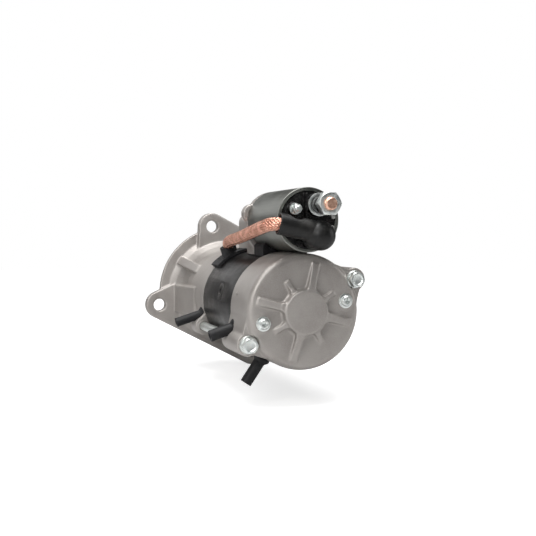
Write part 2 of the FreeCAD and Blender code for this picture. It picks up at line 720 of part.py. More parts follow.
def lever_housing():
    """The hood over the plunger rod and the lever: wide at the solenoid, narrow over the lever."""
    def arch(half_width, y):
        top = solenoid_z
        left, right = solenoid_x - half_width, solenoid_x + half_width
        base = 20.0
        line = [Part.LineSegment(Vector(left, y, top), Vector(left, y, base)).toShape(),
                Part.LineSegment(Vector(left, y, base), Vector(right, y, base)).toShape(),
                Part.LineSegment(Vector(right, y, base), Vector(right, y, top)).toShape(),
                Part.Arc(Vector(right, y, top), Vector(solenoid_x, y, top + half_width),
                         Vector(left, y, top)).toShape()]
        return Part.Wire(line)
    steps = ((tower_front - 1, 17.5), (hood_shoulder, 17.5), (hood_waist, 7.8), (hood_front, 7.2), (hood_end, 4.0))
    lofts = [Part.makeLoft([arch(w0, y0), arch(w1, y1)], True, True)
             for (y0, w0), (y1, w1) in zip(steps, steps[1:])]
    return all_of(lofts)


def tower():
    """The upright plate that the solenoid is screwed to."""
    disc = cylinder(solenoid_radius, tower_rear, tower_front, solenoid_x, solenoid_z)
    sides = [(solenoid_radius, solenoid_z), (solenoid_radius, tower_waist), (tower_foot, yoke_radius + 2.0),
             (tower_foot, 35.0)]
    outline = [(solenoid_x - half, z) for half, z in sides] + [(solenoid_x + half, z) for half, z in sides[::-1]]
    foot = plate(outline, tower_rear, tower_front)
    cheek = box(solenoid_x - tower_foot, solenoid_x + tower_foot, tower_front - 1, tower_front + 12, 35.0, 57.0)
    lobes = []
    for a in (lobe_angle, lobe_angle + 180):
        centre = polar(lobe_circle, a)
        lobes.append(cylinder(lobe_radius, tower_rear, tower_front, solenoid_x + centre.x, solenoid_z + centre.z))
    return all_of([disc, foot, cheek] + lobes)


def front_bracket():
    rim_end = yoke_front + 9.0
    body = revolved([(yoke_front, 0), (yoke_front, bracket_rim_radius), (rim_end, bracket_rim_radius),
                     (rim_end + 1.5, bracket_radius), (-38.0, bracket_radius), (-26.0, bracket_radius + 1.2),
                     (-17.0, bracket_radius + 4.5), (-10.0, bracket_radius + 9.5),
                     (-flange_thickness, bracket_radius + 15.0), (0, bracket_radius + 15.0), (0, 0)])
    body = flange_outline_cut(body)
    spigot = cylinder(pilot_radius, -1, pilot_length)
    bosses = [turned(bolt_boss(), a) for a in (bolt_angle, bolt_angle + 180)]
    gusset = Part.Face(Part.makePolygon([Vector(36, -48, -5), Vector(46.5, -42, -5), Vector(59, -12, -5),
                                         Vector(60, -3, -5), Vector(36, -3, -5), Vector(36, -48, -5)]))
    gusset = turned(gusset.extrude(Vector(0, 0, 9)), 145)
    block = Part.Face(Part.makePolygon([Vector(-36, -3, -19), Vector(-54, -3, -19), Vector(-53.5, -22, -19),
                                        Vector(-46, -60, -19), Vector(-36, -66, -19), Vector(-36, -3, -19)]))
    block = block.extrude(Vector(0, 0, 28))
    drain_boss = radial_cylinder(8.0, 38, bracket_radius + 1.6, drain_front[0], yoke_front + drain_front[1])
    casting = all_of([body, flange(), spigot, gusset, block, drain_boss, lever_housing(), tower()] + bosses)
    yoke_room = cylinder(yoke_radius + 0.7, tower_rear - 5, yoke_front)
    plate_seat = cylinder(yoke_bore, yoke_front - 1, carrier_front)
    nose_rear = front_bearing["y0"] - 8.0
    cavity = cylinder(bracket_bore, carrier_front - 1, nose_rear)
    nose = cone(bracket_bore, 33.5, nose_rear, front_bearing["y0"] - 1.0)
    bearing_seat = cylinder(front_bearing["outer"], front_bearing["y0"] - 2.0, front_bearing["y1"])
    lip = cylinder(24.0, -front_wall - 1, -2.0)
    mouth = cylinder(22.0, -3, pilot_length + 1)
    rod_room = cylinder(rod_room_radius, tower_rear - 1, hood_shoulder + 1.0, solenoid_x, solenoid_z)
    rod_taper = cone(rod_room_radius, 5.2, hood_shoulder + 1.0, hood_waist - 1.0, solenoid_x, solenoid_z)
    rod_tunnel = cylinder(5.2, hood_waist - 1.5, room_front + 1.2, solenoid_x, solenoid_z)
    lever_top = box(solenoid_x - 3, solenoid_x + 3, lever_pivot_y - 16.5, room_front,
                    solenoid_z - 19.4, solenoid_z + 6.1)
    lever_mid = box(solenoid_x - 3, solenoid_x + 3, yoke_front + 1.5, room_front,
                    lever_pivot_z - 10.0, solenoid_z - 14.4)
    lever_hub = box(solenoid_x - 7, solenoid_x + 7, yoke_front + 1.5, room_front,
                    lever_pivot_z - 12.0, lever_pivot_z + 7.0)
    pin_hole = Part.makeCylinder(lever_pin_radius, 100, Vector(-50, lever_pivot_y, lever_pivot_z), Vector(1, 0, 0))
    holes = [turned(cylinder(ear_hole_radius, -ear_thickness - 1, 1, ear_circle), a) for a in ear_angles]
    threads = [turned(cylinder(bolt_radius, yoke_front - 1, bolt_end + 1.0, bolt_circle), a)
               for a in (bolt_angle, bolt_angle + 180)]
    screws = []
    for a in (lobe_angle, lobe_angle + 180):
        centre = polar(lobe_circle, a)
        x, z = solenoid_x + centre.x, solenoid_z + centre.z
        screws.append(cylinder(solenoid_screw_radius + gap, tower_rear - 1, tower_front + 1, x, z))
        screws.append(cylinder(5.0, tower_front, tower_front + 7.0, x, z))
    return without(casting, [yoke_room, plate_seat, cavity, nose, bearing_seat, lip, mouth, rod_room, rod_taper,
                             rod_tunnel, lever_top, lever_mid, lever_hub, pin_hole, grommet_slot(),
                             drain_hole(drain_front, yoke_front, bracket_radius)] + holes + threads + screws)


def bolt_boss():
    """The threaded boss that takes a through bolt, faired into the bracket."""
    y1 = bolt_end + 4.0
    boss = cylinder(8.5, yoke_front, y1, bolt_circle)
    nose = cone(8.5, 5.0, y1, y1 + 6.0, bolt_circle)
    web = plate([(38, -12), (bolt_circle, -8.4), (bolt_circle, 8.4), (38, 12)], yoke_front, y1)
    return all_of([boss, nose, web])


# ---- fasteners of the body ----

def through_bolts():
    bolts = []
    for a in (bolt_angle, bolt_angle + 180):
        centre = polar(bolt_circle, a)
        shank = cylinder(bolt_radius, bolt_seat, bolt_end, centre.x, centre.z)
        skirt = cone(bolt_flange_radius - 0.7, bolt_flange_radius, bolt_seat - bolt_flange_height, bolt_seat,
                     centre.x, centre.z)
        head = hexagon(bolt_head_flats, bolt_seat - bolt_flange_height - bolt_head_height,
                       bolt_seat - bolt_flange_height, centre.x, centre.z)
        dimple = cone(4.3, 3.4, bolt_seat - bolt_flange_height - bolt_head_height - 0.01,
                      bolt_seat - bolt_flange_height - bolt_head_height + 0.9, centre.x, centre.z)
        bolts.append(all_of([shank, skirt, head]).cut(dimple))
    return Part.makeCompound(bolts)


brush_plate_y0 = cover_face + cover_end_wall + 3.0
brush_plate_y1 = brush_plate_y0 + 2.5


def brush_holder_screws():
    screws = []
    washer_back = cover_face - 0.5 - brush_washer_thickness
    for a in (brush_screw_angle, brush_screw_angle + 180):
        centre = polar(brush_screw_circle, a)
        shank = cylinder(brush_screw_radius, washer_back, brush_plate_y1 + 3.0, centre.x, centre.z)
        head = cylinder(brush_screw_head_radius, washer_back - 1.7, washer_back, centre.x, centre.z)
        dome = cone(3.4, brush_screw_head_radius, washer_back - brush_screw_head_height, washer_back - 1.7,
                    centre.x, centre.z)
        cross = [box(centre.x - w, centre.x + w, washer_back - 4, washer_back - 1.4, centre.z - h, centre.z + h)
                 for w, h in ((2.4, 0.5), (0.5, 2.4))]
        screws.append(without(all_of([shank, head, dome]), cross))
    return Part.makeCompound(screws)


def brush_screw_washers():
    washers = []
    for a in (brush_screw_angle, brush_screw_angle + 180):
        centre = polar(brush_screw_circle, a)
        washers.append(tube(brush_washer_radius, brush_screw_radius + 0.2,
                            cover_face - 0.5 - brush_washer_thickness, cover_face - 0.5, centre.x, centre.z))
    return Part.makeCompound(washers)


def brush_block(clearance, r0, r1):
    half = brush_width / 2.0 + clearance
    y0 = brush_plate_y1 + 2.0 - clearance
    return box(r0, r1, y0, y0 + brush_length + 2 * clearance, -half, half)


def brush_plate():
    """The holder plate with four brush boxes and the two threaded bosses for the screws."""
    outer = cover_radius - cover_wall - gap
    disc = tube(outer, 22.0, brush_plate_y0, brush_plate_y1)
    shell = box(commutator_radius + 2.5, outer - 3.5, brush_plate_y1 - 0.5, brush_plate_y1 + brush_length + 3.6,
                -brush_width / 2.0 - 1.6, brush_width / 2.0 + 1.6)
    shell = shell.cut(brush_block(0.15, commutator_radius, outer - 5.5))
    bosses = [turned(cylinder(4.5, brush_plate_y0 - 3.0 + 0.05, brush_plate_y1 + 3.0, brush_screw_circle), a)
              for a in (brush_screw_angle, brush_screw_angle + 180)]
    holes = [turned(cylinder(brush_screw_radius, brush_plate_y0 - 9, brush_plate_y1 + 9, brush_screw_circle), a)
             for a in (brush_screw_angle, brush_screw_angle + 180)]
    return without(all_of([disc] + around(shell, brush_angles) + bosses), holes)


def brushes():
    block = brush_block(0.0, commutator_radius - 1, commutator_radius + 12.0)
    block = block.cut(cylinder(commutator_radius + 0.1, brush_plate_y1, yoke_rear))
    return Part.makeCompound(around(block, brush_angles))


def coil_spring(wire, mean_radius, length, turns, start, axis):
    """A helical compression spring with round wire, along the axis from the start point."""
    pitch = (length - 2 * wire) / turns
    helix = Part.makeHelix(pitch, pitch * turns, mean_radius)
    profile = Part.Wire(Part.makeCircle(wire, Vector(mean_radius, 0, 0), Vector(0, 1, 0)))
    spring = Part.Wire(helix).makePipeShell([profile], True, True)
    spring.translate(Vector(0, 0, wire))
    turn = FreeCAD.Rotation(Vector(0, 0, 1), axis)
    spring.Placement = FreeCAD.Placement(start, turn).multiply(spring.Placement)
    return spring


def brush_springs():
    r0 = commutator_radius + 12.3
    r1 = cover_radius - cover_wall - gap - 5.8
    springs = []
    for a in brush_angles:
        y = brush_plate_y1 + 2.0 + brush_length / 2.0
        springs.append(coil_spring(0.45, 3.2, r1 - r0, 3, polar(r0, a, y), polar(1, a)))
    return Part.makeCompound(springs)


# ---- motor lead, its grommet, lug and boot ----

def lead_route():
    """Corner points of the lead: out of the yoke, along the solenoid, across behind its cap."""
    leave = polar(yoke_radius - 1.5, lead_angle, yoke_front - 11.0)
    knee = polar(yoke_radius + 12.4, lead_angle - 1.8, yoke_front - 13.0)
    side = solenoid_x - lead_side
    return [leave, knee, Vector(side + 0.6, solenoid_front + 0.5, solenoid_z - 14.4),
            Vector(side + 0.2, solenoid_rear + 24.7, solenoid_z - 7.4),
            Vector(side + 0.8, cap_face - 9.3, solenoid_z - 2.4),
            Vector(motor_x - 17.5, cap_face - 12.3, motor_z + 7.1)]


def turned_block(shape, middle, angle):
    """A block drawn with its thickness along X, laid on the drum at the angle."""
    copy = shape.copy()
    copy.rotate(Vector(0, 0, 0), Y_AXIS, -angle)
    copy.translate(middle)
    return copy


def grommet_slot():
    """The notch for the grommet across the joint of bracket and yoke, at the upper left."""
    block = box(-4, 4, yoke_front - grommet_length, yoke_front + 2.0, -9.0, 9.0)
    return turned_block(block, polar(yoke_radius, grommet_angle), grommet_angle)


def lead_grommet(shell):
    y0, y1 = yoke_front - grommet_length + 0.2, yoke_front + 1.8
    plug = turned_block(box(-3.9, 3.5, y0, y1, -8.8, 8.8), polar(yoke_radius, grommet_angle), grommet_angle)
    pad = sector(yoke_radius + 0.1, yoke_radius + 3.4, y0 - 1.5, yoke_front + 6.5, 19.0)
    leave, knee = lead_route()[:2]
    collar = Part.makeCylinder(lead_radius + 2.4, 10.0, polar(yoke_radius + 1.0, grommet_angle - 0.8, leave.y - 0.6),
                               knee - leave)
    whole = all_of([plug, turned(pad, grommet_angle), collar])
    rim = cylinder(bracket_rim_radius + 0.05, yoke_front, yoke_front + 30).cut(grommet_slot())
    inside = cylinder(yoke_bore, yoke_front - 40, yoke_front + 40)
    return without(whole, [lead_path_solid(lead_radius, first_runs=2), lever_housing(), rim, inside, shell])


def lead_path_solid(radius, first_runs=None):
    """Straight runs joined by tangent arcs through the route's points."""
    points = lead_route()
    if first_runs:
        points = points[:first_runs + 1]
    edges = []
    start = points[0]
    for before, corner, after in zip(points, points[1:], points[2:]):
        back, ahead = (before - corner), (after - corner)
        shorter = min(back.Length, ahead.Length)
        back.normalize()
        ahead.normalize()
        half = back.getAngle(ahead) / 2.0
        trim = 0.45 * shorter
        bend_radius = trim * math.tan(half)
        enter, leave = corner + back * trim, corner + ahead * trim
        bisector = back + ahead
        bisector.normalize()
        middle = corner + bisector * (math.hypot(bend_radius, trim) - bend_radius)
        edges.append(Part.LineSegment(start, enter).toShape())
        edges.append(Part.Arc(enter, middle, leave).toShape())
        start = leave
    edges.append(Part.LineSegment(start, points[-1]).toShape())
    path = Part.Wire(edges)
    direction = points[1] - points[0]
    profile = Part.Wire(Part.makeCircle(radius, points[0], direction))
    return path.makePipeShell([profile], True, True)


def motor_lead():
    return lead_path_solid(lead_radius)


lug_front = cap_face - 3.0
lug_rear = lug_front - 2.5
dome_y = lug_rear - 8.0        # centre of the boot's rounded end


def lug_outline(margin):
    """The flat eye and its tongue, both in one plane behind the cap."""
    end = lead_route()[-1]
    eye = cylinder(8.6 + margin, lug_rear - margin, lug_front + margin, motor_x, motor_z)
    tongue = plate([(end.x - margin, end.z - 4.4 - margin), (motor_x - 3, motor_z - 6.6 - margin),
                    (motor_x, motor_z + 6.6 + margin), (end.x - margin, end.z + 4.0 + margin)],
                   lug_rear - margin, lug_front + margin)
    barrel = box(end.x - margin, end.x + 5.5 + margin, end.y - 4.0 - margin, lug_rear + 1,
                 end.z - 4.4 - margin, end.z + 4.0 + margin)
    return all_of([eye, tongue, barrel])


def lead_lug():
    """The copper eye crimped on the lead, clamped on the motor terminal."""
    bore = cylinder(motor_stud_radius, lug_rear - 9, lug_front + 9, motor_x, motor_z)
    return without(lug_outline(0.0), [bore, lead_path_solid(lead_radius)])


def capsule(radius, start, end):
    axis = end - start
    return all_of([Part.makeCylinder(radius, axis.Length, start, axis), Part.makeSphere(radius, end)])


def boot_form(shrink):
    """The outside of the boot, or its inside when shrunk by the wall."""
    corner, end = lead_route()[-2:]
    along = end - corner
    along.normalize()
    mouth = corner + along * (4.5 - shrink)
    sleeve = capsule(8.6 - shrink, mouth, Vector(motor_x - 4.0, end.y - 0.5, motor_z + 3.0))
    dome = cylinder(11.8 - shrink, dome_y, cap_face - 0.6 + shrink / 4.0, motor_x, motor_z)
    crown = Part.makeSphere(11.8 - shrink, Vector(motor_x, dome_y, motor_z))
    return all_of([sleeve, dome, crown])


def terminal_boot():
    shell = boot_form(0.0).cut(boot_form(1.7))
    far = cap_face - 50
    keep_out = [cylinder(40, cap_face - 0.3, cap_face + 30, solenoid_x, solenoid_z),
                cylinder(8.8, far, cap_face + 1, switch_x, switch_z),
                cylinder(12.0, far, cap_face + 1, battery_x, battery_z),
                cylinder(solenoid_radius + gap, solenoid_rear - 0.3, solenoid_rear + 30, solenoid_x, solenoid_z),
                cylinder(8.9, cap_face - 4, cap_face + 1, motor_x, motor_z)]
    return without(shell, keep_out + [lead_path_solid(lead_radius + 0.05), lug_outline(0.4)])


# ---- solenoid ----
coil_front = solenoid_front - 8.0
coil_rear = coil_front - 43.0
plunger_gap = travel + 0.25
core_front = solenoid_front - 36.5
seat_y = solenoid_front + 25.5     # the return spring presses on this collar of the rod
contact_travel = 2.6


def solenoid_case():
    """Drawn steel can with a thick front plate; its rear rim is rolled over the cap."""
    can = tube(solenoid_radius, solenoid_radius - case_wall, solenoid_rear, solenoid_front, solenoid_x, solenoid_z)
    front = tube(solenoid_radius - 1, plunger_radius + running, solenoid_front - 6.0, solenoid_front,
                 solenoid_x, solenoid_z)
    rim = tube(solenoid_radius, solenoid_radius - 3.0, solenoid_rear, solenoid_rear + 1.2, solenoid_x, solenoid_z)
    case = all_of([can, front, rim])
    holes = []
    for a in (lobe_angle, lobe_angle + 180):
        centre = polar(lobe_circle, a)
        holes.append(cylinder(solenoid_screw_radius, solenoid_front - 7, solenoid_front + 1,
                              solenoid_x + centre.x, solenoid_z + centre.z))
    return without(case, holes)


def solenoid_screws():
    screws = []
    for a in (lobe_angle, lobe_angle + 180):
        centre = polar(lobe_circle, a)
        x, z = solenoid_x + centre.x, solenoid_z + centre.z
        shank = cylinder(solenoid_screw_radius, solenoid_front - 5.5, tower_front, x, z)
        head = hexagon(8.0, tower_front, tower_front + 4.0, x, z, lead_in=False)
        washer = cylinder(4.6, tower_front, tower_front + 1.0, x, z)
        screws.append(all_of([shank, head, washer]))
    return Part.makeCompound(screws)


def solenoid_bobbin():
    x, z = solenoid_x, solenoid_z
    sleeve = tube(winding_bore, plunger_radius + 0.35, coil_rear, coil_front, x, z)
    cheeks = [tube(23.0, plunger_radius + 0.35, coil_front - 2.0, coil_front, x, z),
              tube(23.0, plunger_radius + 0.35, coil_rear, coil_rear + 2.0, x, z)]
    return all_of([sleeve] + cheeks)


def solenoid_winding():
    return tube(22.4, winding_bore, coil_rear + 2.0, coil_front - 2.0, solenoid_x, solenoid_z)


def solenoid_core():
    """Fixed core: a disc that closes the magnetic path and a plug that the plunger is drawn against."""
    x, z = solenoid_x, solenoid_z
    disc = tube(solenoid_radius - case_wall, 3.6, coil_rear - 6.0, coil_rear, x, z)
    plug = tube(plunger_radius + 0.2, 3.6, coil_rear - 1, core_front, x, z)
    return all_of([disc, plug])


def plunger():
    x, z = solenoid_x, solenoid_z
    return cylinder(plunger_radius, core_front + plunger_gap, solenoid_front + 3.5, x, z)


def plunger_rod():
    """The hook rod: it joins the plunger to the head of the lever through a slot."""
    x, z = solenoid_x, solenoid_z
    rod = cylinder(rod_radius, solenoid_front, room_front + 0.5, x, z)
    slot = box(x - 2.3, x + 2.3, lever_pivot_y - 4.4, lever_pivot_y + 4.4, z - 9, z + 9)
    return rod.cut(slot)


def spring_seat():
    return cylinder(plunger_radius + 2.6, seat_y, seat_y + 1.4, solenoid_x, solenoid_z)


def return_spring():
    start = Vector(solenoid_x, solenoid_front + 0.2, solenoid_z)
    return coil_spring(0.9, plunger_radius + 1.5, seat_y - solenoid_front - 0.4, 4.5, start, Y_AXIS)


contact_y = coil_rear - 12.0    # middle of the moving contact at rest


def contact_disc():
    x, z = solenoid_x, solenoid_z
    blade = box(x - 7.0, x + 14.0, contact_y - 1.5, contact_y + 1.5, z - 17.0, z + 17.0)
    return blade.common(cylinder(solenoid_radius - case_wall - 2.7, contact_y - 5, contact_y + 5, x, z))


def contact_rod():
    x, z = solenoid_x, solenoid_z
    rod = cylinder(3.0, contact_y - 4.0, core_front - 0.4, x, z)
    flange = cylinder(5.0, contact_y + 1.5, contact_y + 3.0, x, z)
    return all_of([rod, flange])


def contact_spring():
    x, z = solenoid_x, solenoid_z
    start = Vector(x, contact_y - 1.7, z)
    return coil_spring(0.4, 4.2, contact_y - 1.7 - (cap_face + 8.4), 3, start, Vector(0, -1, 0))


def solenoid_cap():
    """Moulded black cap: it closes the can, holds the terminals and covers the contacts."""
    x, z = solenoid_x, solenoid_z
    inside = solenoid_radius - case_wall
    plug = tube(inside, inside - 2.2, cap_face + 7, coil_rear - 6.0, x, z)
    end = cylinder(solenoid_radius - 3.0, cap_face, cap_face + 8, x, z)
    step = cylinder(inside, solenoid_rear + 1.2, cap_face + 8, x, z)
    divider = box(x - 3.4, x - 1.4, cap_face - 4.5, cap_face + 1, z + 1.0, z + 21.0)
    battery_boss = cylinder(8.8, battery_seat, cap_face + 1, battery_x, battery_z)
    battery_sleeve = cylinder(battery_sleeve_radius, battery_stud_end + 11.4, cap_face, battery_x, battery_z)
    switch_boss = cylinder(5.2, cap_face - 3.0, cap_face + 1, switch_x, switch_z)
    motor_boss = cylinder(8.5, lug_front, cap_face + 1, motor_x, motor_z)
    cap = all_of([plug, end, step, divider, battery_boss, battery_sleeve, switch_boss, motor_boss])
    y0, y1 = cap_face - 40, coil_rear
    cap = cap.common(cylinder(solenoid_radius - case_wall, y0, y1, x, z))
    bores = [cylinder(stud_radius, y0, y1, battery_x, battery_z),
             cylinder(motor_stud_radius, y0, y1, motor_x, motor_z),
             cylinder(switch_stud_radius, y0, y1, switch_x, switch_z)]
    return without(cap, bores)


head_front = contact_y - 1.5 - contact_travel - 0.05   # contact faces of the two main terminals


def battery_terminal():
    """Copper main stud: a contact head inside the cap and a threaded end outside."""
    head = box(battery_x - 6.0, battery_x + 6.0, cap_face + 8.0, head_front, battery_z - 6.0, battery_z + 4.0)
    shank = cylinder(stud_radius, battery_stud_end + 0.8, cap_face + 8.5, battery_x, battery_z)
    tip = cone(stud_radius - 0.8, stud_radius, battery_stud_end, battery_stud_end + 0.8, battery_x, battery_z)
    return all_of([head, shank, tip])


def motor_terminal():
    head = box(motor_x - 6.0, motor_x + 5.0, cap_face + 8.0, head_front, motor_z - 4.8, motor_z + 6.0)
    shank = cylinder(motor_stud_radius, lug_rear - 8.5, cap_face + 8.5, motor_x, motor_z)
    return all_of([head, shank])


def nut(flats, bore, y0, y1, x, z):
    return hexagon(flats, y0, y1, x, z).cut(cylinder(bore, y0 - 1, y1 + 1, x, z))


def terminal_nuts():
    battery = nut(nut_flats, stud_radius, battery_stud_end + 2.8, battery_stud_end + 10.8, battery_x, battery_z)
    motor = nut(13.0, motor_stud_radius, lug_rear - 6.5, lug_rear, motor_x, motor_z)
    switch = nut(7.0, switch_stud_radius, switch_stud_end + 2.7, switch_stud_end + 5.9, switch_x, switch_z)
    return Part.makeCompound([battery, motor, switch])


def terminal_washers():
    switch_seat = cap_face - 3.0
    battery = tube(9.2, battery_sleeve_radius, battery_seat - 1.3, battery_seat, battery_x, battery_z)
    switch = tube(4.6, switch_stud_radius, switch_seat - 1.2, switch_seat, switch_x, switch_z)
    return Part.makeCompound([battery, switch])


def switch_terminal():
    head = cylinder(4.0, cap_face + 8.0, cap_face + 10.0, switch_x, switch_z)
    shank = cylinder(switch_stud_radius, switch_stud_end, cap_face + 8.5, switch_x, switch_z)
    return all_of([head, shank])


def cap_tabs():
    """Two soldered winding tabs at the rim of the cap."""
    tabs = []
    for angle in (6.7, -16.5):
        centre = polar(solenoid_radius - 4.9, angle)
        tabs.append(cylinder(1.7, cap_face - 2.2, cap_face, solenoid_x + centre.x, solenoid_z + centre.z))
    return Part.makeCompound(tabs)


def lever_seal():
    """Rubber packing between the solenoid, the tower and the yoke."""
    y0, y1 = yoke_rear + 1.0, tower_rear
    half = tower_foot + 1.0
    block = plate([(solenoid_x - half, 40), (solenoid_x + half, 40), (solenoid_x + half, 52.0),
                   (solenoid_x + 16, 57.0), (solenoid_x - 16, 57.0), (solenoid_x - half, 52.0)], y0, y1)
    block = block.cut(cylinder(yoke_radius + 0.9, y0 - 1, y1 + 1))
    return block.cut(cylinder(solenoid_radius + 0.1, y0 - 1, y1 + 1, solenoid_x, solenoid_z))


# ---- write every node ----
front_outer, front_inner, front_balls = bearing(front_bearing)
rear_outer, rear_inner, rear_balls = bearing(rear_bearing)
pieces = {
    "front_bracket": front_bracket(),
    "yoke": yoke(),
    "rear_cover": rear_cover(),
    "pole_screws": pole_screws(),
    "pole_shoes": pole_shoes(),
    "field_coils": field_coils(),
    "through_bolts": through_bolts(),
    "brush_holder_screws": Part.makeCompound([brush_holder_screws(), brush_screw_washers()]),
    "brush_plate": brush_plate(),
    "brushes": brushes(),
    "brush_springs": brush_springs(),
    "armature_shaft": armature_shaft(),
    "armature_core": armature_core(),
    "armature_windings": armature_windings(),
    "commutator": commutator(),
    "ring_gear": ring_gear(),
    "centre_plate": centre_plate(),
    "gear_support_plate": gear_support_plate(),
    "plain_bushes": Part.makeCompound([armature_bush(), carrier_bush()]),
    "output_shaft": output_shaft(),
    "planet_pins": planet_pins(),
    "clutch_housing": clutch_housing(),
    "clutch_rollers": clutch_rollers(),
    "clutch_cover": clutch_cover(),
    "lever_collar": lever_collar(),
    "pinion": pinion(),
    "front_bearing_outer": front_outer,
    "front_bearing_inner": front_inner,
    "front_bearing_balls": front_balls,
    "rear_bearing_outer": rear_outer,
    "rear_bearing_inner": rear_inner,
    "rear_bearing_balls": rear_balls,
    "front_seal": front_seal(),
    "shift_lever": shift_lever(),
    "lever_pin": lever_pin(),
    "lever_seal": lever_seal(),
    "lead_grommet": lead_grommet(yoke()),
    "motor_lead": motor_lead(),
    "lead_lug": lead_lug(),
    "terminal_boot": terminal_boot(),
    "solenoid_case": solenoid_case(),
    "solenoid_screws": solenoid_screws(),
    "solenoid_bobbin": solenoid_bobbin(),
    "solenoid_winding": solenoid_winding(),
    "solenoid_core": solenoid_core(),
    "solenoid_cap": solenoid_cap(),
    "plunger": all_of([plunger(), plunger_rod(), spring_seat()]),
    "return_spring": return_spring(),
    "contact_disc": all_of([contact_disc(), contact_rod()]),
    "contact_spring": contact_spring(),
    "battery_terminal": battery_terminal(),
    "terminal_nuts": terminal_nuts(),
    "terminal_washers": terminal_washers(),
    "cap_tabs": cap_tabs(),
    "motor_terminal": motor_terminal(),
    "switch_terminal": switch_terminal(),
}
for index, angle in enumerate(planet_angles):
    pieces["planet_gear_%d" % (index + 1)] = planet_gear(angle)
pieces["drain_tubes"] = Part.makeCompound([
    drain_tube(drain_front, yoke_front, bracket_radius, pieces["front_bracket"]),
    drain_tube(drain_side, yoke_rear, cover_radius, pieces["rear_cover"]),
    drain_tube(drain_bottom, yoke_rear, cover_radius, pieces["rear_cover"])])

for name, shape in pieces.items():
    save(name, shape)
print(len(pieces), "nodes; plunger travel %.2f mm, clutch travel %.2f mm" % (travel, drive_travel))
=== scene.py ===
import json
import math
import bmesh
import bpy
import numpy as np
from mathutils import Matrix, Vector

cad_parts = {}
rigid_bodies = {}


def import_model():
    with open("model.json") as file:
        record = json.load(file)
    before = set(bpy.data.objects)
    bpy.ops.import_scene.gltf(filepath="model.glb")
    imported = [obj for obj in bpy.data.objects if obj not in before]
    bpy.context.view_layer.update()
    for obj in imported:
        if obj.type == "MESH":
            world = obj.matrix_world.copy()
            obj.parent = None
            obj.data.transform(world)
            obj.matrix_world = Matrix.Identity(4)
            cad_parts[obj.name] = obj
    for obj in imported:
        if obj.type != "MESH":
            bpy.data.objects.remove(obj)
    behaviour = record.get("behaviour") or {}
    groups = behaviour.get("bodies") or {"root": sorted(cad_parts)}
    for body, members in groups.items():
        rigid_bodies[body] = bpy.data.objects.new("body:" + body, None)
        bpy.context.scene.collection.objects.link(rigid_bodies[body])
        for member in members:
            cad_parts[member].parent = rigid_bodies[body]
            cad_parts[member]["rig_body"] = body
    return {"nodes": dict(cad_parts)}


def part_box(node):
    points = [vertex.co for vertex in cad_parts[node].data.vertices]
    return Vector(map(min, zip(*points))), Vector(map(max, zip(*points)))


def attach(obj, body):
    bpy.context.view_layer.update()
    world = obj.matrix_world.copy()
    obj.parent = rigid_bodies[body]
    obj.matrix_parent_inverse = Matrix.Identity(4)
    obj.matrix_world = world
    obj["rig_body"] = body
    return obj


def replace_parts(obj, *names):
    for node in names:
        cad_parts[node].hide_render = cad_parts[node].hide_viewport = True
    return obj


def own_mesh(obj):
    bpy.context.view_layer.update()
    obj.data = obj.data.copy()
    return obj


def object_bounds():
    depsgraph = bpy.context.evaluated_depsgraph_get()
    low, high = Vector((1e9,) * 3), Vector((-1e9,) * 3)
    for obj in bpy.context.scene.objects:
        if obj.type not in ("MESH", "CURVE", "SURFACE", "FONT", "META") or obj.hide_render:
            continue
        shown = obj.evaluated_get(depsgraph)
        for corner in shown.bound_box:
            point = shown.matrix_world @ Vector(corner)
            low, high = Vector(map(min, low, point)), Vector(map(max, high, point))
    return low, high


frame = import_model()
cad_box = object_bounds()

# ---- Front bracket ----
# Aluminium die casting in one piece: flange, gear housing, lever hood and the upright that the solenoid is
# screwed to. It comes out of the die with small radii everywhere, and is lightly blasted to a warm satin grey.

MM = 0.001

class Signal:
    """The output of a shader node, so that shader maths reads as arithmetic."""

    def __init__(self, finish, socket):
        self.finish = finish
        self.socket = socket

    def maths(self, operation, *values):
        return self.finish.add("ShaderNodeMath", {"operation": operation}, dict(enumerate(values)))

    def __add__(self, other):
        return self.maths("ADD", self, other)

    def __mul__(self, other):
        return self.maths("MULTIPLY", self, other)

    __radd__ = __add__
    __rmul__ = __mul__


class Finish:
    """A material, and the one method that adds a node to it."""

    def __init__(self, name, **constants):
        self.material = bpy.data.materials.new(name)
        self.material.use_nodes = True
        self.tree = self.material.node_tree
        self.surface = self.tree.nodes["Principled BSDF"]
        for socket, value in constants.items():
            self.surface.inputs[socket.replace("_", " ")].default_value = value
        self.place = self.add("ShaderNodeTexCoord", {}, {}, "Object")

    def add(self, kind, settings, inputs, output=0):
        node = self.tree.nodes.new(kind)
        for name, value in settings.items():
            if name == "stops":
                for stop, (position, colour) in zip(node.color_ramp.elements, value):
                    stop.position = position
                    stop.color = colour
            else:
                setattr(node, name, value)
        for key, value in inputs.items():
            if isinstance(value, Signal):
                self.tree.links.new(value.socket, node.inputs[key])
            else:
                node.inputs[key].default_value = value
        return Signal(self, node.outputs[output])

    def feed(self, **signals):
        for socket, signal in signals.items():
            self.tree.links.new(signal.socket, self.surface.inputs[socket.replace("_", " ")])


def noise(finish, size_mm, detail=2.0, roughness=0.5, stretch=(1, 1, 1)):
    """Cloudy noise with features of about the given size; stretch makes them longer along an axis."""
    place = finish.add("ShaderNodeMapping", {}, {0: finish.place, 3: tuple(1 / s for s in stretch)})
    return finish.add("ShaderNodeTexNoise", {}, {"Vector": place, "Scale": 1 / (size_mm * MM),
                                                 "Detail": detail, "Roughness": roughness})


def ramp(finish, signal, low, high, floor=0.0, top=1.0):
    """Rises gently from floor to top as the signal goes from low to high."""
    return finish.add("ShaderNodeMapRange", {"interpolation_type": "SMOOTHSTEP"},
                      {0: signal, 1: low, 2: high, 3: floor, 4: top})


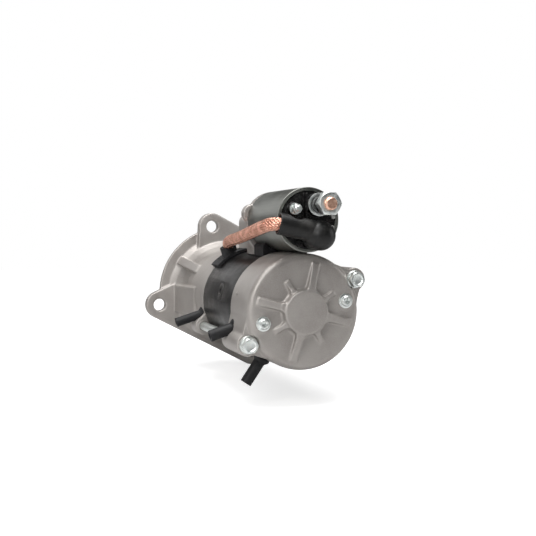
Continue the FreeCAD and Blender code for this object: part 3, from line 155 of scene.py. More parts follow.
def mix_colour(finish, share, first, second):
    """The first colour, giving way to the second as the share grows."""
    return finish.add("ShaderNodeMix", {"data_type": "RGBA"}, {0: share, 6: first, 7: second}, 2)


def bump(finish, height, depth_mm):
    """A relief whose highest points stand the given depth above its lowest."""
    return finish.add("ShaderNodeBump", {}, {"Strength": 1.0, "Distance": depth_mm * MM, "Height": height})


def painted_edge_highlight(finish):
    """1 on outward edges, 0 on flat ground: where the painted edge highlight goes."""
    return ramp(finish, finish.add("ShaderNodeNewGeometry", {}, {}, "Pointiness"), 0.52, 0.62)


def cast_aluminium():
    finish = Finish("cast_aluminium", Metallic=0.55, IOR=1.5)
    clouds = noise(finish, 24, 3.0)
    grain = noise(finish, 0.9, 3.0, 0.65)
    speckle = noise(finish, 0.35, 1.0)
    base = mix_colour(finish, ramp(finish, clouds, 0.35, 0.68),
                      (0.30, 0.277, 0.26, 1), (0.365, 0.342, 0.323, 1))
    base = mix_colour(finish, ramp(finish, grain, 0.30, 0.72, 0.0, 0.32), base, (0.47, 0.445, 0.42, 1))
    # Outward edges are painted paler. This is a painted highlight for the light that the casting's small radii catch,
    # with a little edge wear in it.
    base = mix_colour(finish, painted_edge_highlight(finish) * 0.6, base, (0.66, 0.62, 0.585, 1))
    finish.feed(Base_Color=base, Roughness=ramp(finish, clouds + grain * 0.5, 0.5, 1.0, 0.42, 0.55),
                Normal=bump(finish, speckle * 0.5 + grain, 0.05))
    return finish.material


def put(mesh, name, material, body):
    """Makes the object of a finished mesh, in its material, riding on its body."""
    mesh.materials.clear()
    mesh.materials.append(material)
    mesh.name = name
    piece = bpy.data.objects.new(name, mesh)
    bpy.context.scene.collection.objects.link(piece)
    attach(piece, body)
    return piece


def merged(node):
    """A copy of a CAD node's mesh with its loose triangles joined."""
    cad = frame["nodes"][node]
    mesh = cad.data.copy()
    cleaner = bmesh.new()
    cleaner.from_mesh(mesh)
    bmesh.ops.remove_doubles(cleaner, verts=cleaner.verts, dist=2e-6)
    cleaner.to_mesh(mesh)
    cleaner.free()
    return mesh


def through_modifiers(mesh, modifiers):
    """The mesh after a list of (modifier type, settings)."""
    holder = bpy.data.objects.new("holder", mesh)
    bpy.context.scene.collection.objects.link(holder)
    for kind, settings in modifiers:
        modifier = holder.modifiers.new(kind.lower(), kind)
        for name, value in settings.items():
            setattr(modifier, name, value)
    graph = bpy.context.evaluated_depsgraph_get()
    done = bpy.data.meshes.new_from_object(holder.evaluated_get(graph))
    bpy.data.objects.remove(holder)
    return done


def kept_in_box(mesh, node):
    """Holds every point inside the CAD node's box."""
    low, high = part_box(node)
    points = np.empty(len(mesh.vertices) * 3, np.float32)
    mesh.vertices.foreach_get("co", points)
    points = np.clip(points.reshape(-1, 3), np.array(low), np.array(high))
    mesh.vertices.foreach_set("co", points.astype(np.float32).ravel())
    mesh.update()


def soft_edged(node, name, material, voxel, passes, keep=1.0, extra=None):
    """Stands for a cast or moulded CAD node: the same form, with every edge and inner corner rounded."""
    mesh = merged(node)
    if extra:
        join_into(mesh, extra)
    steps = [("REMESH", {"mode": "VOXEL", "voxel_size": voxel * MM}),
             ("SMOOTH", {"factor": 0.5, "iterations": passes})]
    if keep < 1.0:
        steps.append(("DECIMATE", {"ratio": keep}))
    mesh = through_modifiers(mesh, steps)
    kept_in_box(mesh, node)
    mesh.shade_smooth()
    piece = put(mesh, name, material, frame["nodes"][node]["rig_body"])
    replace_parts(piece, node)
    return piece


CAST = cast_aluminium()
soft_edged("front_bracket", "cast_front_bracket", CAST, voxel=0.85, passes=5, keep=0.5)

# ---- Rear cover ----
# The same alloy and finish: a drum closed at the back, with the hub of the rear bearing, four long and four
# short ribs, and three small round marks that the die's ejector pins leave on its left flank.


def join_into(mesh, extra):
    """Adds the faces of more meshes to a mesh."""
    joiner = bmesh.new()
    joiner.from_mesh(mesh)
    for other in extra:
        joiner.from_mesh(other)
    joiner.to_mesh(mesh)
    joiner.free()


def cast_mark(radius, centre):
    """A low round mark: the outer part of a ball sunk in the wall."""
    marker = bmesh.new()
    bmesh.ops.create_icosphere(marker, subdivisions=2, radius=radius)
    bmesh.ops.translate(marker, vec=centre, verts=marker.verts)
    mesh = bpy.data.meshes.new("mark")
    marker.to_mesh(mesh)
    marker.free()
    return mesh


DRUM_RADIUS = 47 * MM
MARK_RADIUS = 1.3 * MM
MARK_PLACES = ((163, 44), (187, 38), (222, 30))    # degrees round the drum, mm ahead of its rear end
cover_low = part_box("rear_cover")[0]
marks = []
for degrees, ahead in MARK_PLACES:
    angle = math.radians(degrees)
    marks.append(cast_mark(MARK_RADIUS, (DRUM_RADIUS * math.cos(angle), cover_low.y + ahead * MM,
                                         DRUM_RADIUS * math.sin(angle))))
soft_edged("rear_cover", "cast_rear_cover", CAST, voxel=0.75, passes=7, keep=0.6, extra=marks)

# ---- Yoke ----
# A rolled steel tube in semi-gloss black paint, a little uneven, with dust and fine scuffs. It is held between
# the bracket and the rear cover, and carries the pole shoes inside.


def black_paint():
    finish = Finish("black_paint", IOR=1.4, Coat_Roughness=0.25)
    peel = noise(finish, 1.6, 2.0)
    clouds = noise(finish, 16, 4.0, 0.6)
    scuffs = noise(finish, 1.2, 5.0, 0.7, (1, 14, 1))
    dust = ramp(finish, clouds, 0.45, 0.75)
    base = mix_colour(finish, dust * 0.5, (0.007, 0.006, 0.006, 1), (0.018, 0.016, 0.015, 1))
    base = mix_colour(finish, ramp(finish, scuffs, 0.62, 0.78, 0, 0.35), base, (0.05, 0.045, 0.042, 1))
    finish.feed(Base_Color=base, Roughness=ramp(finish, clouds + scuffs * 0.4, 0.4, 0.95, 0.3, 0.48),
                Normal=bump(finish, peel, 0.035))
    finish.surface.inputs["Coat Weight"].default_value = 0.1
    return finish.material


def machined(node, name, material, chamfer):
    """Stands for a machined CAD node: flat ground rejoined, edges broken by a small chamfer, curves smooth."""
    flat_ground, crisp_edge = math.radians(1), math.radians(32)
    mesh = merged(node)
    cleaner = bmesh.new()
    cleaner.from_mesh(mesh)
    bmesh.ops.dissolve_limit(cleaner, angle_limit=flat_ground, verts=cleaner.verts, edges=cleaner.edges)
    cleaner.to_mesh(mesh)
    cleaner.free()
    mesh = through_modifiers(mesh, [("BEVEL", {"width": chamfer * MM, "segments": 2, "limit_method": "ANGLE",
                                               "angle_limit": crisp_edge})])
    kept_in_box(mesh, node)
    mesh.shade_smooth()
    mesh.set_sharp_from_angle(angle=crisp_edge)
    piece = put(mesh, name, material, frame["nodes"][node]["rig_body"])
    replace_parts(piece, node)
    return piece


machined("yoke", "yoke_tube", black_paint(), chamfer=0.25)

# ---- Pole screws ----
# Four blackened steel screws with countersunk heads and hexagon sockets. Each one holds a pole shoe from outside,
# through the wall of the yoke.


def blackened_steel():
    finish = Finish("blackened_steel", Metallic=0.85)
    clouds = noise(finish, 2.5, 3.0)
    base = mix_colour(finish, ramp(finish, clouds, 0.4, 0.7), (0.035, 0.034, 0.034, 1), (0.085, 0.08, 0.075, 1))
    finish.feed(Base_Color=base, Roughness=ramp(finish, clouds, 0.3, 0.7, 0.35, 0.5))
    return finish.material


BLACK_STEEL = blackened_steel()
machined("pole_screws", "pole_screw_heads", BLACK_STEEL, chamfer=0.2)

# ---- Through bolts ----
# Two long bolts of zinc-plated steel, bright with a faint blue-green cast and a few dull spots. They clamp rear
# cover, yoke and bracket together; their heads have a flange and a dished top.


def zinc_plating():
    finish = Finish("zinc_plating", Metallic=1.0)
    clouds = noise(finish, 3.0, 4.0, 0.6)
    spots = noise(finish, 0.7, 2.0)
    base = mix_colour(finish, ramp(finish, clouds, 0.35, 0.7), (0.72, 0.76, 0.75, 1), (0.88, 0.90, 0.87, 1))
    base = mix_colour(finish, ramp(finish, spots, 0.62, 0.75, 0, 0.5), base, (0.38, 0.40, 0.38, 1))
    finish.feed(Base_Color=base, Roughness=ramp(finish, clouds + spots * 0.3, 0.4, 0.85, 0.3, 0.46),
                Normal=bump(finish, spots, 0.004))
    return finish.material


ZINC = zinc_plating()
machined("through_bolts", "long_bolts", ZINC, chamfer=0.3)

# ---- Brush holder screws ----
# Two plated screws with cross recesses, each on a plain washer. They reach through the rear cover into the plate
# that carries the brushes.

machined("brush_holder_screws", "cross_head_screws", ZINC, chamfer=0.2)

# ---- Solenoid screws ----
# Two plated screws that pull the solenoid's front plate against the bracket's upright, one on each side of the
# plunger.

machined("solenoid_screws", "tower_screws", ZINC, chamfer=0.2)

# ---- Terminal nuts and washers ----
# Plated hexagon nuts on the two studs and under the boot, with plain washers. They clamp the battery cable, the
# switch wire and the motor lead's eye.

machined("terminal_nuts", "stud_nuts", ZINC, chamfer=0.25)
machined("terminal_washers", "stud_washers", ZINC, chamfer=0.15)

# ---- Drain tubes ----
# Three short tubes of black moulded rubber, matt with a faint bloom, pushed into the bracket and the rear cover.
# They let water out and keep splashes from coming in.


def moulded_rubber(name, dark, pale, rough, coarse=0.06):
    finish = Finish(name, IOR=1.36)
    bloom = noise(finish, 9, 4.0, 0.6)
    grain = noise(finish, 0.8, 3.0, 0.6)
    base = mix_colour(finish, ramp(finish, bloom, 0.4, 0.75), dark, pale)
    finish.feed(Base_Color=base, Roughness=ramp(finish, bloom + grain * 0.3, 0.4, 0.9, rough, rough + 0.16),
                Normal=bump(finish, grain, coarse))
    return finish.material


RUBBER = moulded_rubber("drain_rubber", (0.010, 0.010, 0.011, 1), (0.024, 0.024, 0.025, 1), rough=0.5)
soft_edged("drain_tubes", "drain_hoses", RUBBER, voxel=0.35, passes=3)

# ---- Lead grommet ----
# A rubber block that sits in a notch where bracket and yoke meet, with a collar round the lead and a curved pad
# that lies on the drum.

soft_edged("lead_grommet", "yoke_grommet", RUBBER, voxel=0.4, passes=3)

# ---- Solenoid packing ----
# The rubber block that closes the gap between yoke, bracket and solenoid. It is squeezed in place when the
# solenoid's screws are done up, and keeps dirt away from the lever.

soft_edged("lever_seal", "solenoid_packing", RUBBER, voxel=0.5, passes=3)

# ---- Terminal boot ----
# A smoother, shinier rubber than the rest. It is pushed over the motor terminal and the end of the lead, and its
# mouth grips the braid.

BOOT_RUBBER = moulded_rubber("boot_rubber", (0.008, 0.008, 0.008, 1), (0.018, 0.017, 0.016, 1), rough=0.33,
                             coarse=0.04)
soft_edged("terminal_boot", "terminal_hood", BOOT_RUBBER, voxel=0.4, passes=6)

# ---- Solenoid case ----
# A deep-drawn steel can, zinc plated and polished by the drawing, so its shine runs along its length. Its rear
# rim is rolled over the cap.


def drawn_zinc():
    finish = Finish("drawn_zinc", Metallic=1.0)
    draw = noise(finish, 0.8, 4.0, 0.6, (1, 40, 1))
    clouds = noise(finish, 20, 3.0)
    base = mix_colour(finish, ramp(finish, clouds, 0.35, 0.7), (0.20, 0.205, 0.19, 1), (0.27, 0.275, 0.255, 1))
    base = mix_colour(finish, ramp(finish, draw, 0.55, 0.8, 0, 0.35), base, (0.15, 0.155, 0.14, 1))
    finish.feed(Base_Color=base, Roughness=ramp(finish, clouds + draw * 0.4, 0.45, 0.95, 0.32, 0.44),
                Normal=bump(finish, draw, 0.02))
    return finish.material


def lathe(profile, centre_x, centre_z, steps=160):
    """A closed outline of (y, radius) turned about an axis that runs along Y; all values in metres."""
    turner = bmesh.new()
    rings = []
    for i in range(steps):
        a = 2 * math.pi * i / steps
        rings.append([turner.verts.new((centre_x + r * math.cos(a), y, centre_z + r * math.sin(a)))
                      for y, r in profile])
    for ring, after in zip(rings, rings[1:] + rings[:1]):
        for k in range(len(profile)):
            n = (k + 1) % len(profile)
            turner.faces.new((ring[k], ring[n], after[n], after[k]))
    bmesh.ops.remove_doubles(turner, verts=turner.verts, dist=1e-7)
    bmesh.ops.recalc_face_normals(turner, faces=turner.faces)
    mesh = bpy.data.meshes.new("turned")
    turner.to_mesh(mesh)
    turner.free()
    mesh.shade_smooth()
    mesh.set_sharp_from_angle(angle=math.radians(40))
    return mesh


def rounded(points, radius, steps=4):
    """The closed outline with each corner replaced by an arc-like curve of about the given radius."""
    out = []
    count = len(points)
    for i, point in enumerate(points):
        corner = Vector(point)
        back = Vector(points[i - 1]) - corner
        ahead = Vector(points[(i + 1) % count]) - corner
        reach = min(radius, back.length * 0.45, ahead.length * 0.45)
        enter = corner + back.normalized() * reach
        leave = corner + ahead.normalized() * reach
        for k in range(steps + 1):
            t = k / steps
            out.append(tuple(enter * (1 - t) ** 2 + corner * (2 * t * (1 - t)) + leave * t ** 2))
    return out


WALL = 2.4 * MM
RIM_WIDTH = 3.0 * MM
RIM_THICKNESS = 1.2 * MM
FRONT_PLATE = 6.0 * MM
PLUNGER_BORE = 10.06 * MM
CORNER = 0.7 * MM
case_low, case_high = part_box("solenoid_case")
case_x, case_z = (case_low.x + case_high.x) / 2, (case_low.z + case_high.z) / 2
case_radius = (case_high.x - case_low.x) / 2
case_rear, case_front = case_low.y, case_high.y
can_outline = rounded([(case_rear, case_radius - RIM_WIDTH), (case_rear, case_radius), (case_front, case_radius),
                       (case_front, PLUNGER_BORE), (case_front - FRONT_PLATE, PLUNGER_BORE),
                       (case_front - FRONT_PLATE, case_radius - WALL),
                       (case_rear + RIM_THICKNESS, case_radius - WALL),
                       (case_rear + RIM_THICKNESS, case_radius - RIM_WIDTH)], CORNER)
can = put(lathe(can_outline, case_x, case_z), "solenoid_can", drawn_zinc(), "housing")
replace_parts(can, "solenoid_case")

# ---- Solenoid cap ----
# Black glass-filled moulding, glossy, with a rib between its two halves and a raised seat under each terminal.


def glossy_moulding():
    finish = Finish("glossy_moulding", IOR=1.45)
    flow = noise(finish, 5, 4.0, 0.6)
    pits = noise(finish, 0.5, 2.0)
    base = mix_colour(finish, ramp(finish, flow, 0.4, 0.7), (0.004, 0.004, 0.004, 1), (0.010, 0.008, 0.008, 1))
    finish.feed(Base_Color=base, Roughness=ramp(finish, flow + pits * 0.2, 0.35, 0.8, 0.14, 0.3),
                Normal=bump(finish, flow + pits * 0.3, 0.02))
    return finish.material


soft_edged("solenoid_cap", "terminal_cap", glossy_moulding(), voxel=0.4, passes=2)

# ---- Battery stud ----
# A copper stud with a rolled M10 thread, which takes the battery cable. Inside the cap it ends in a flat head,
# one of the two fixed contacts that the moving contact bridges.


def bright_copper():
    finish = Finish("bright_copper", Metallic=1.0)
    clouds = noise(finish, 2.2, 4.0, 0.6)
    base = mix_colour(finish, ramp(finish, clouds, 0.35, 0.7), (0.74, 0.42, 0.30, 1), (0.90, 0.60, 0.46, 1))
    finish.feed(Base_Color=base, Roughness=ramp(finish, clouds, 0.3, 0.75, 0.36, 0.5),
                Normal=bump(finish, clouds, 0.02))
    return finish.material


def threaded_stud(x, z, rear, front, radius, pitch, around=40, per_turn=6):
    """A stud along Y, chamfered at its rear end, whose thread is one helical ridge of the given pitch."""
    depth = 0.55 * pitch
    end_radius = radius - 0.72 * pitch
    end_slope = 0.9
    rows = int((front - rear) / pitch * per_turn)
    builder = bmesh.new()
    grid = []
    for j in range(rows + 1):
        y = rear + (front - rear) * j / rows
        ring = []
        for i in range(around):
            phase = ((y - rear) / pitch + i / around) % 1.0
            ridge = abs(2 * phase - 1)
            r = min(radius - depth * ridge, end_radius + (y - rear) * end_slope)
            a = 2 * math.pi * i / around
            ring.append(builder.verts.new((x + r * math.cos(a), y, z + r * math.sin(a))))
        grid.append(ring)
    for ring, after in zip(grid, grid[1:]):
        for i in range(around):
            n = (i + 1) % around
            builder.faces.new((ring[i], ring[n], after[n], after[i]))
    builder.faces.new(grid[0])
    builder.faces.new(grid[-1])
    bmesh.ops.recalc_face_normals(builder, faces=builder.faces)
    mesh = bpy.data.meshes.new("stud")
    builder.to_mesh(mesh)
    builder.free()
    mesh.shade_smooth()
    mesh.set_sharp_from_angle(angle=math.radians(38))
    return mesh


COPPER = bright_copper()
STUD_RADIUS = 5.0 * MM
STUD_PITCH = 1.5 * MM
STUD_X, STUD_Z = 9.2 * MM, 85.4 * MM
SHANK_OUTSIDE = 33.5 * MM
SHANK_IN_CAP = 8.5 * MM
HEAD_WIDTH, HEAD_HEIGHT = 12 * MM, 10 * MM
HEAD_BELOW_AXIS = 6 * MM
HEAD_OVERLAP = 0.5 * MM
stud_low, stud_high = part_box("battery_terminal")
shank_front = stud_low.y + SHANK_OUTSIDE + SHANK_IN_CAP
main_stud = threaded_stud(STUD_X, STUD_Z, stud_low.y, shank_front, STUD_RADIUS, STUD_PITCH)
head_low = Vector((STUD_X - HEAD_WIDTH / 2, shank_front - HEAD_OVERLAP, STUD_Z - HEAD_BELOW_AXIS))
head_size = (HEAD_WIDTH, stud_high.y - head_low.y, HEAD_HEIGHT)
contact_head = bmesh.new()
bmesh.ops.create_cube(contact_head, size=1.0)
for corner in contact_head.verts:
    corner.co = [start + (share + 0.5) * size for start, share, size in zip(head_low, corner.co, head_size)]
head_mesh = bpy.data.meshes.new("contact_head")
contact_head.to_mesh(head_mesh)
contact_head.free()
join_into(main_stud, [through_modifiers(head_mesh, [("BEVEL", {"width": 0.6 * MM, "segments": 3})])])
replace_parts(put(main_stud, "battery_stud", COPPER, "housing"), "battery_terminal")

# ---- Switch stud ----
# A small plated steel stud with an M5 thread, beside the battery stud. It takes the wire from the starter switch
# to the solenoid's winding.

SWITCH_RADIUS = 2.5 * MM
SWITCH_PITCH = 0.8 * MM
small_low, small_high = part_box("switch_terminal")
small_x, small_z = (small_low.x + small_high.x) / 2, (small_low.z + small_high.z) / 2
small_stud = threaded_stud(small_x, small_z, small_low.y, small_high.y, SWITCH_RADIUS, SWITCH_PITCH, around=28)
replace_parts(put(small_stud, "switch_stud", ZINC, "housing"), "switch_terminal")

# ---- Motor lead ----
# A rope of braided copper, plaited from two sets of strands that cross over and under, round a core of the same
# wire. It is held at both ends: in the grommet, and by the lug under the boot.

LEAD_POINTS = ((-20.5, -113.0, 39.5), (-24.6, -112.6, 51.8), (-28.0, -128.5, 55.6), (-30.4, -175.0, 59.0),
               (-31.0, -236.0, 67.2), (-29.2, -265.5, 71.0), (-9.9, -268.0, 68.1))    # mm
BRAID_SIZES = {"Strands Each Way": 12, "Rope Radius": 4.55 * MM, "Strand Radius": 0.62 * MM, "Lay Length": 34 * MM,
               "Weave": 0.3 * MM, "Core Radius": 4.3 * MM, "Step": 0.9 * MM}


def braided_copper():
    finish = Finish("braided_copper", Metallic=1.0)
    wires = noise(finish, 0.28, 3.0, 0.6)
    clouds = noise(finish, 6.0, 3.0)
    base = mix_colour(finish, ramp(finish, clouds, 0.35, 0.7), (0.60, 0.30, 0.215, 1), (0.90, 0.52, 0.40, 1))
    base = mix_colour(finish, ramp(finish, wires, 0.5, 0.75, 0, 0.6), base, (0.95, 0.60, 0.48, 1))
    finish.feed(Base_Color=base, Roughness=ramp(finish, wires, 0.3, 0.75, 0.24, 0.5),
                Normal=bump(finish, wires, 0.06))
    return finish.material


def tree_node(tree, kind, settings, inputs):
    """Adds a geometry node, with its settings, and the values or outputs that its inputs take."""
    node = tree.nodes.new(kind)
    for name, value in settings.items():
        setattr(node, name, value)
    for key, value in inputs.items():
        if isinstance(value, bpy.types.NodeSocket):
            tree.links.new(value, node.inputs[key])
        else:
            node.inputs[key].default_value = value
    return node.outputs


def braid_tree(material):
    """Winds strands round a curve, half of them each way, and lets them cross over and under."""
    tree = bpy.data.node_groups.new("braid", "GeometryNodeTree")
    face = tree.interface
    face.new_socket("Geometry", in_out="INPUT", socket_type="NodeSocketGeometry")
    for label, size in BRAID_SIZES.items():
        kind = "NodeSocketInt" if isinstance(size, int) else "NodeSocketFloat"
        face.new_socket(label, in_out="INPUT", socket_type=kind)
    face.new_socket("Geometry", in_out="OUTPUT", socket_type="NodeSocketGeometry")

    def maths(operation, first, second=0.0):
        return tree_node(tree, "ShaderNodeMath", {"operation": operation}, {0: first, 1: second})[0]

    def scaled(vector, factor):
        return tree_node(tree, "ShaderNodeVectorMath", {"operation": "SCALE"}, {0: vector, "Scale": factor})[0]

    given = tree.nodes.new("NodeGroupInput").outputs
    path = tree_node(tree, "GeometryNodeResampleCurve", {"mode": "LENGTH"},
                     {0: given["Geometry"], "Length": given["Step"]})
    both = maths("MULTIPLY", given["Strands Each Way"], 2)
    strands = tree_node(tree, "GeometryNodeDuplicateElements", {"domain": "SPLINE"}, {0: path[0], "Amount": both})
    number = strands["Duplicate Index"]
    second = maths("GREATER_THAN", number, maths("SUBTRACT", given["Strands Each Way"], 0.5))
    way = maths("SUBTRACT", 1.0, maths("MULTIPLY", second, 2.0))
    length = tree.nodes.new("GeometryNodeSplineParameter").outputs["Length"]
    turn = maths("MULTIPLY", maths("DIVIDE", length, given["Lay Length"]), 2 * math.pi)
    start = maths("DIVIDE", maths("MULTIPLY", number, 2 * math.pi), given["Strands Each Way"])
    angle = maths("ADD", start, maths("MULTIPLY", turn, way))
    over = maths("MULTIPLY", maths("COSINE", maths("MULTIPLY", turn, given["Strands Each Way"])), way)
    radius = maths("ADD", given["Rope Radius"], maths("MULTIPLY", over, given["Weave"]))
    normal = tree.nodes.new("GeometryNodeInputNormal").outputs[0]
    tangent = tree.nodes.new("GeometryNodeInputTangent").outputs[0]
    across = tree_node(tree, "ShaderNodeVectorMath", {"operation": "CROSS_PRODUCT"}, {0: tangent, 1: normal})[0]
    outward = tree_node(tree, "ShaderNodeVectorMath", {"operation": "ADD"},
                        {0: scaled(normal, maths("COSINE", angle)), 1: scaled(across, maths("SINE", angle))})[0]
    wound = tree_node(tree, "GeometryNodeSetPosition", {}, {0: strands[0], "Offset": scaled(outward, radius)})
    ring = tree_node(tree, "GeometryNodeCurvePrimitiveCircle", {},
                     {"Resolution": 6, "Radius": given["Strand Radius"]})
    strand_mesh = tree_node(tree, "GeometryNodeCurveToMesh", {}, {0: wound[0], 1: ring[0], "Fill Caps": True})
    wide = tree_node(tree, "GeometryNodeCurvePrimitiveCircle", {},
                     {"Resolution": 24, "Radius": given["Core Radius"]})
    core = tree_node(tree, "GeometryNodeCurveToMesh", {}, {0: path[0], 1: wide[0], "Fill Caps": True})
    whole = tree.nodes.new("GeometryNodeJoinGeometry")
    tree.links.new(core[0], whole.inputs[0])
    tree.links.new(strand_mesh[0], whole.inputs[0])
    real = tree_node(tree, "GeometryNodeRealizeInstances", {}, {0: whole.outputs[0]})
    coated = tree_node(tree, "GeometryNodeSetMaterial", {}, {0: real[0], "Material": material})
    tree.links.new(coated[0], tree.nodes.new("NodeGroupOutput").inputs[0])
    return tree


lead_curve = bpy.data.curves.new("lead_path", "CURVE")
lead_curve.dimensions = "3D"
lead_curve.resolution_u = 24
lead_spline = lead_curve.splines.new("NURBS")
lead_spline.points.add(len(LEAD_POINTS) - 1)
for point, (x, y, z) in zip(lead_spline.points, LEAD_POINTS):
    point.co = (x * MM, y * MM, z * MM, 1)
lead_spline.order_u = 3
lead_spline.use_endpoint_u = True
lead_path = bpy.data.objects.new("lead_path", lead_curve)
bpy.context.scene.collection.objects.link(lead_path)
BRAID = braided_copper()
braiding = lead_path.modifiers.new("braid", "NODES")
braiding.node_group = braid_tree(BRAID)
for socket in braiding.node_group.interface.items_tree:
    if socket.in_out == "INPUT" and socket.name in BRAID_SIZES:
        braiding[socket.identifier] = BRAID_SIZES[socket.name]
graph = bpy.context.evaluated_depsgraph_get()
braid_mesh = bpy.data.meshes.new_from_object(lead_path.evaluated_get(graph))
bpy.data.objects.remove(lead_path)
braid_mesh.shade_smooth()
kept_in_box(braid_mesh, "motor_lead")
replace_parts(put(braid_mesh, "braided_lead", BRAID, "housing"), "motor_lead")

# ---- Lead lug ----
# A copper eye crimped on the end of the lead, inside the boot. The nut under the boot clamps it to the motor
# terminal.

machined("lead_lug", "crimped_eye", COPPER, chamfer=0.2)

# ---- Winding ends on the cap ----
# Two brass tabs near the rim of the cap, where the ends of the solenoid's winding come through. Each is covered
# by a rounded blob of solder.


def tinned():
    finish = Finish("solder", Metallic=1.0)
    clouds = noise(finish, 1.2, 3.0)
    base = mix_colour(finish, ramp(finish, clouds, 0.35, 0.7), (0.50, 0.50, 0.48, 1), (0.70, 0.70, 0.67, 1))
    finish.feed(Base_Color=base, Roughness=ramp(finish, clouds, 0.3, 0.7, 0.25, 0.5),
                Normal=bump(finish, clouds, 0.1))
    return finish.material


soft_edged("cap_tabs", "soldered_tabs", tinned(), voxel=0.15, passes=8)

# ---- Pinion ----
# Hardened steel, ground on the teeth. The shift lever pushes it forward into the engine's ring gear, and the
# clutch behind it turns it.


def ground_steel(name, dark, pale, rough, stretch=(1, 1, 1)):
    finish = Finish(name, Metallic=1.0)
    grinding = noise(finish, 0.6, 4.0, 0.6, stretch)
    clouds = noise(finish, 8, 3.0)
    base = mix_colour(finish, ramp(finish, clouds, 0.35, 0.7), dark, pale)
    finish.feed(Base_Color=base, Roughness=ramp(finish, grinding + clouds * 0.4, 0.4, 0.95, rough, rough + 0.2),
                Normal=bump(finish, grinding, 0.02))
    return finish.material


GEAR_STEEL = ground_steel("gear_steel", (0.36, 0.36, 0.37, 1), (0.50, 0.50, 0.51, 1), rough=0.22)
machined("pinion", "pinion_gear", GEAR_STEEL, chamfer=0.25)

# ---- Output shaft ----
# A hardened steel shaft in one piece with the carrier of the three planet gears, ground on its journals.

machined("output_shaft", "carrier_shaft", GEAR_STEEL, chamfer=0.25)

# ---- Front seal ----
# A rubber ring pressed into the bracket's nose. It keeps dust and gear grease of the engine out of the front
# bearing.

machined("front_seal", "nose_seal", RUBBER, chamfer=0.2)

# ---- Shift lever ----
# A fork moulded in pale glass-filled nylon. It swings on a pin, and carries the plunger's pull over to the
# drive.


def plain_moulding(name, dark, pale):
    finish = Finish(name, IOR=1.5)
    flow = noise(finish, 4, 3.0)
    base = mix_colour(finish, ramp(finish, flow, 0.35, 0.7), dark, pale)
    finish.feed(Base_Color=base, Roughness=ramp(finish, flow, 0.3, 0.7, 0.4, 0.6), Normal=bump(finish, flow, 0.05))
    return finish.material


LEVER_NYLON = plain_moulding("lever_moulding", (0.42, 0.38, 0.30, 1), (0.52, 0.48, 0.39, 1))
machined("shift_lever", "fork_lever", LEVER_NYLON, chamfer=0.25)

# ---- Lever pin ----
# The blackened steel pin that the shift lever swings on, held in the bracket's hood.

machined("lever_pin", "fork_pin", BLACK_STEEL, chamfer=0.3)

# ---- Field coils and armature windings ----
# Enamelled copper wire, wound round the pole shoes and laid in the slots of the armature's core. The turns run
# along the shaft.


def wound_wire(name, dark, pale, stretch):
    finish = Finish(name, Metallic=0.7)
    turns = noise(finish, 0.9, 2.0, 0.5, stretch)
    base = mix_colour(finish, ramp(finish, turns, 0.4, 0.65), dark, pale)
    finish.feed(Base_Color=base, Roughness=ramp(finish, turns, 0.3, 0.7, 0.28, 0.5), Normal=bump(finish, turns, 0.2))
    return finish.material


def finished_in(material, *nodes):
    """Gives CAD nodes that keep their own form a material."""
    for node in nodes:
        inner = frame["nodes"][node]
        inner.data.materials.clear()
        inner.data.materials.append(material)


ENAMEL = wound_wire("enamelled_wire", (0.16, 0.05, 0.02, 1), (0.45, 0.17, 0.07, 1), stretch=(1, 9, 1))
finished_in(ENAMEL, "field_coils", "armature_windings")

# ---- Solenoid winding ----
# Finer enamelled wire in many layers on the bobbin. The turns run round the plunger.

COIL = wound_wire("coil_wire", (0.20, 0.07, 0.03, 1), (0.50, 0.20, 0.09, 1), stretch=(6, 1, 6))
finished_in(COIL, "solenoid_winding")

# ---- Ball bearings and clutch rollers ----
# Hardened and polished bearing steel: the rings and balls at both ends, and the rollers that jam between the
# clutch's two halves.

BEARING = ground_steel("bearing_steel", (0.62, 0.63, 0.65, 1), (0.78, 0.79, 0.80, 1), rough=0.08)
finished_in(BEARING, "front_bearing_outer", "front_bearing_inner", "front_bearing_balls", "rear_bearing_outer",
            "rear_bearing_inner", "rear_bearing_balls", "clutch_rollers")

# ---- Pressed plates, collar, clutch cover and brush springs ----
# Pieces pressed or wound from bright steel sheet and strip, left as they come from the tool.

SHEET = ground_steel("pressed_sheet", (0.34, 0.34, 0.35, 1), (0.46, 0.46, 0.46, 1), rough=0.34)
finished_in(SHEET, "centre_plate", "gear_support_plate", "lever_collar", "clutch_cover", "brush_springs")

# ---- Armature core ----
# A stack of thin slotted steel sheets pressed on the shaft. Their edges show as fine rings.

LAMINATED = ground_steel("laminations", (0.15, 0.15, 0.15, 1), (0.32, 0.32, 0.32, 1), rough=0.35, stretch=(20, 1, 20))
finished_in(LAMINATED, "armature_core")

# ---- Plain bushes ----
# Sintered bronze soaked with oil, pressed in where one shaft turns inside another.

finished_in(ground_steel("sintered_bronze", (0.40, 0.27, 0.12, 1), (0.55, 0.39, 0.20, 1), rough=0.4), "plain_bushes")

# ---- Brushes ----
# Blocks pressed from carbon and copper powder, which slide in their holders and rub on the commutator.

finished_in(plain_moulding("brush_carbon", (0.02, 0.018, 0.017, 1), (0.06, 0.05, 0.045, 1)), "brushes")

# ---- Solenoid bobbin and brush plate ----
# Brown heat-proof mouldings: the one carries the solenoid's winding, the other the brush holders.

BROWN = plain_moulding("brown_moulding", (0.10, 0.06, 0.035, 1), (0.17, 0.11, 0.06, 1))
finished_in(BROWN, "solenoid_bobbin", "brush_plate")

# ---- Commutator, contact and motor terminal ----
# Bare copper, where current crosses from one piece to the next.

finished_in(COPPER, "commutator", "contact_disc", "motor_terminal")

# ---- Pole shoes and solenoid core ----
# Soft iron, blackened against rust, which carries the magnetic field.

finished_in(BLACK_STEEL, "pole_shoes", "solenoid_core")

# ---- Gears, armature shaft, clutch housing and plunger ----
# Turned, hobbed and hardened steel pieces of the drive, with the plunger that sets it moving.

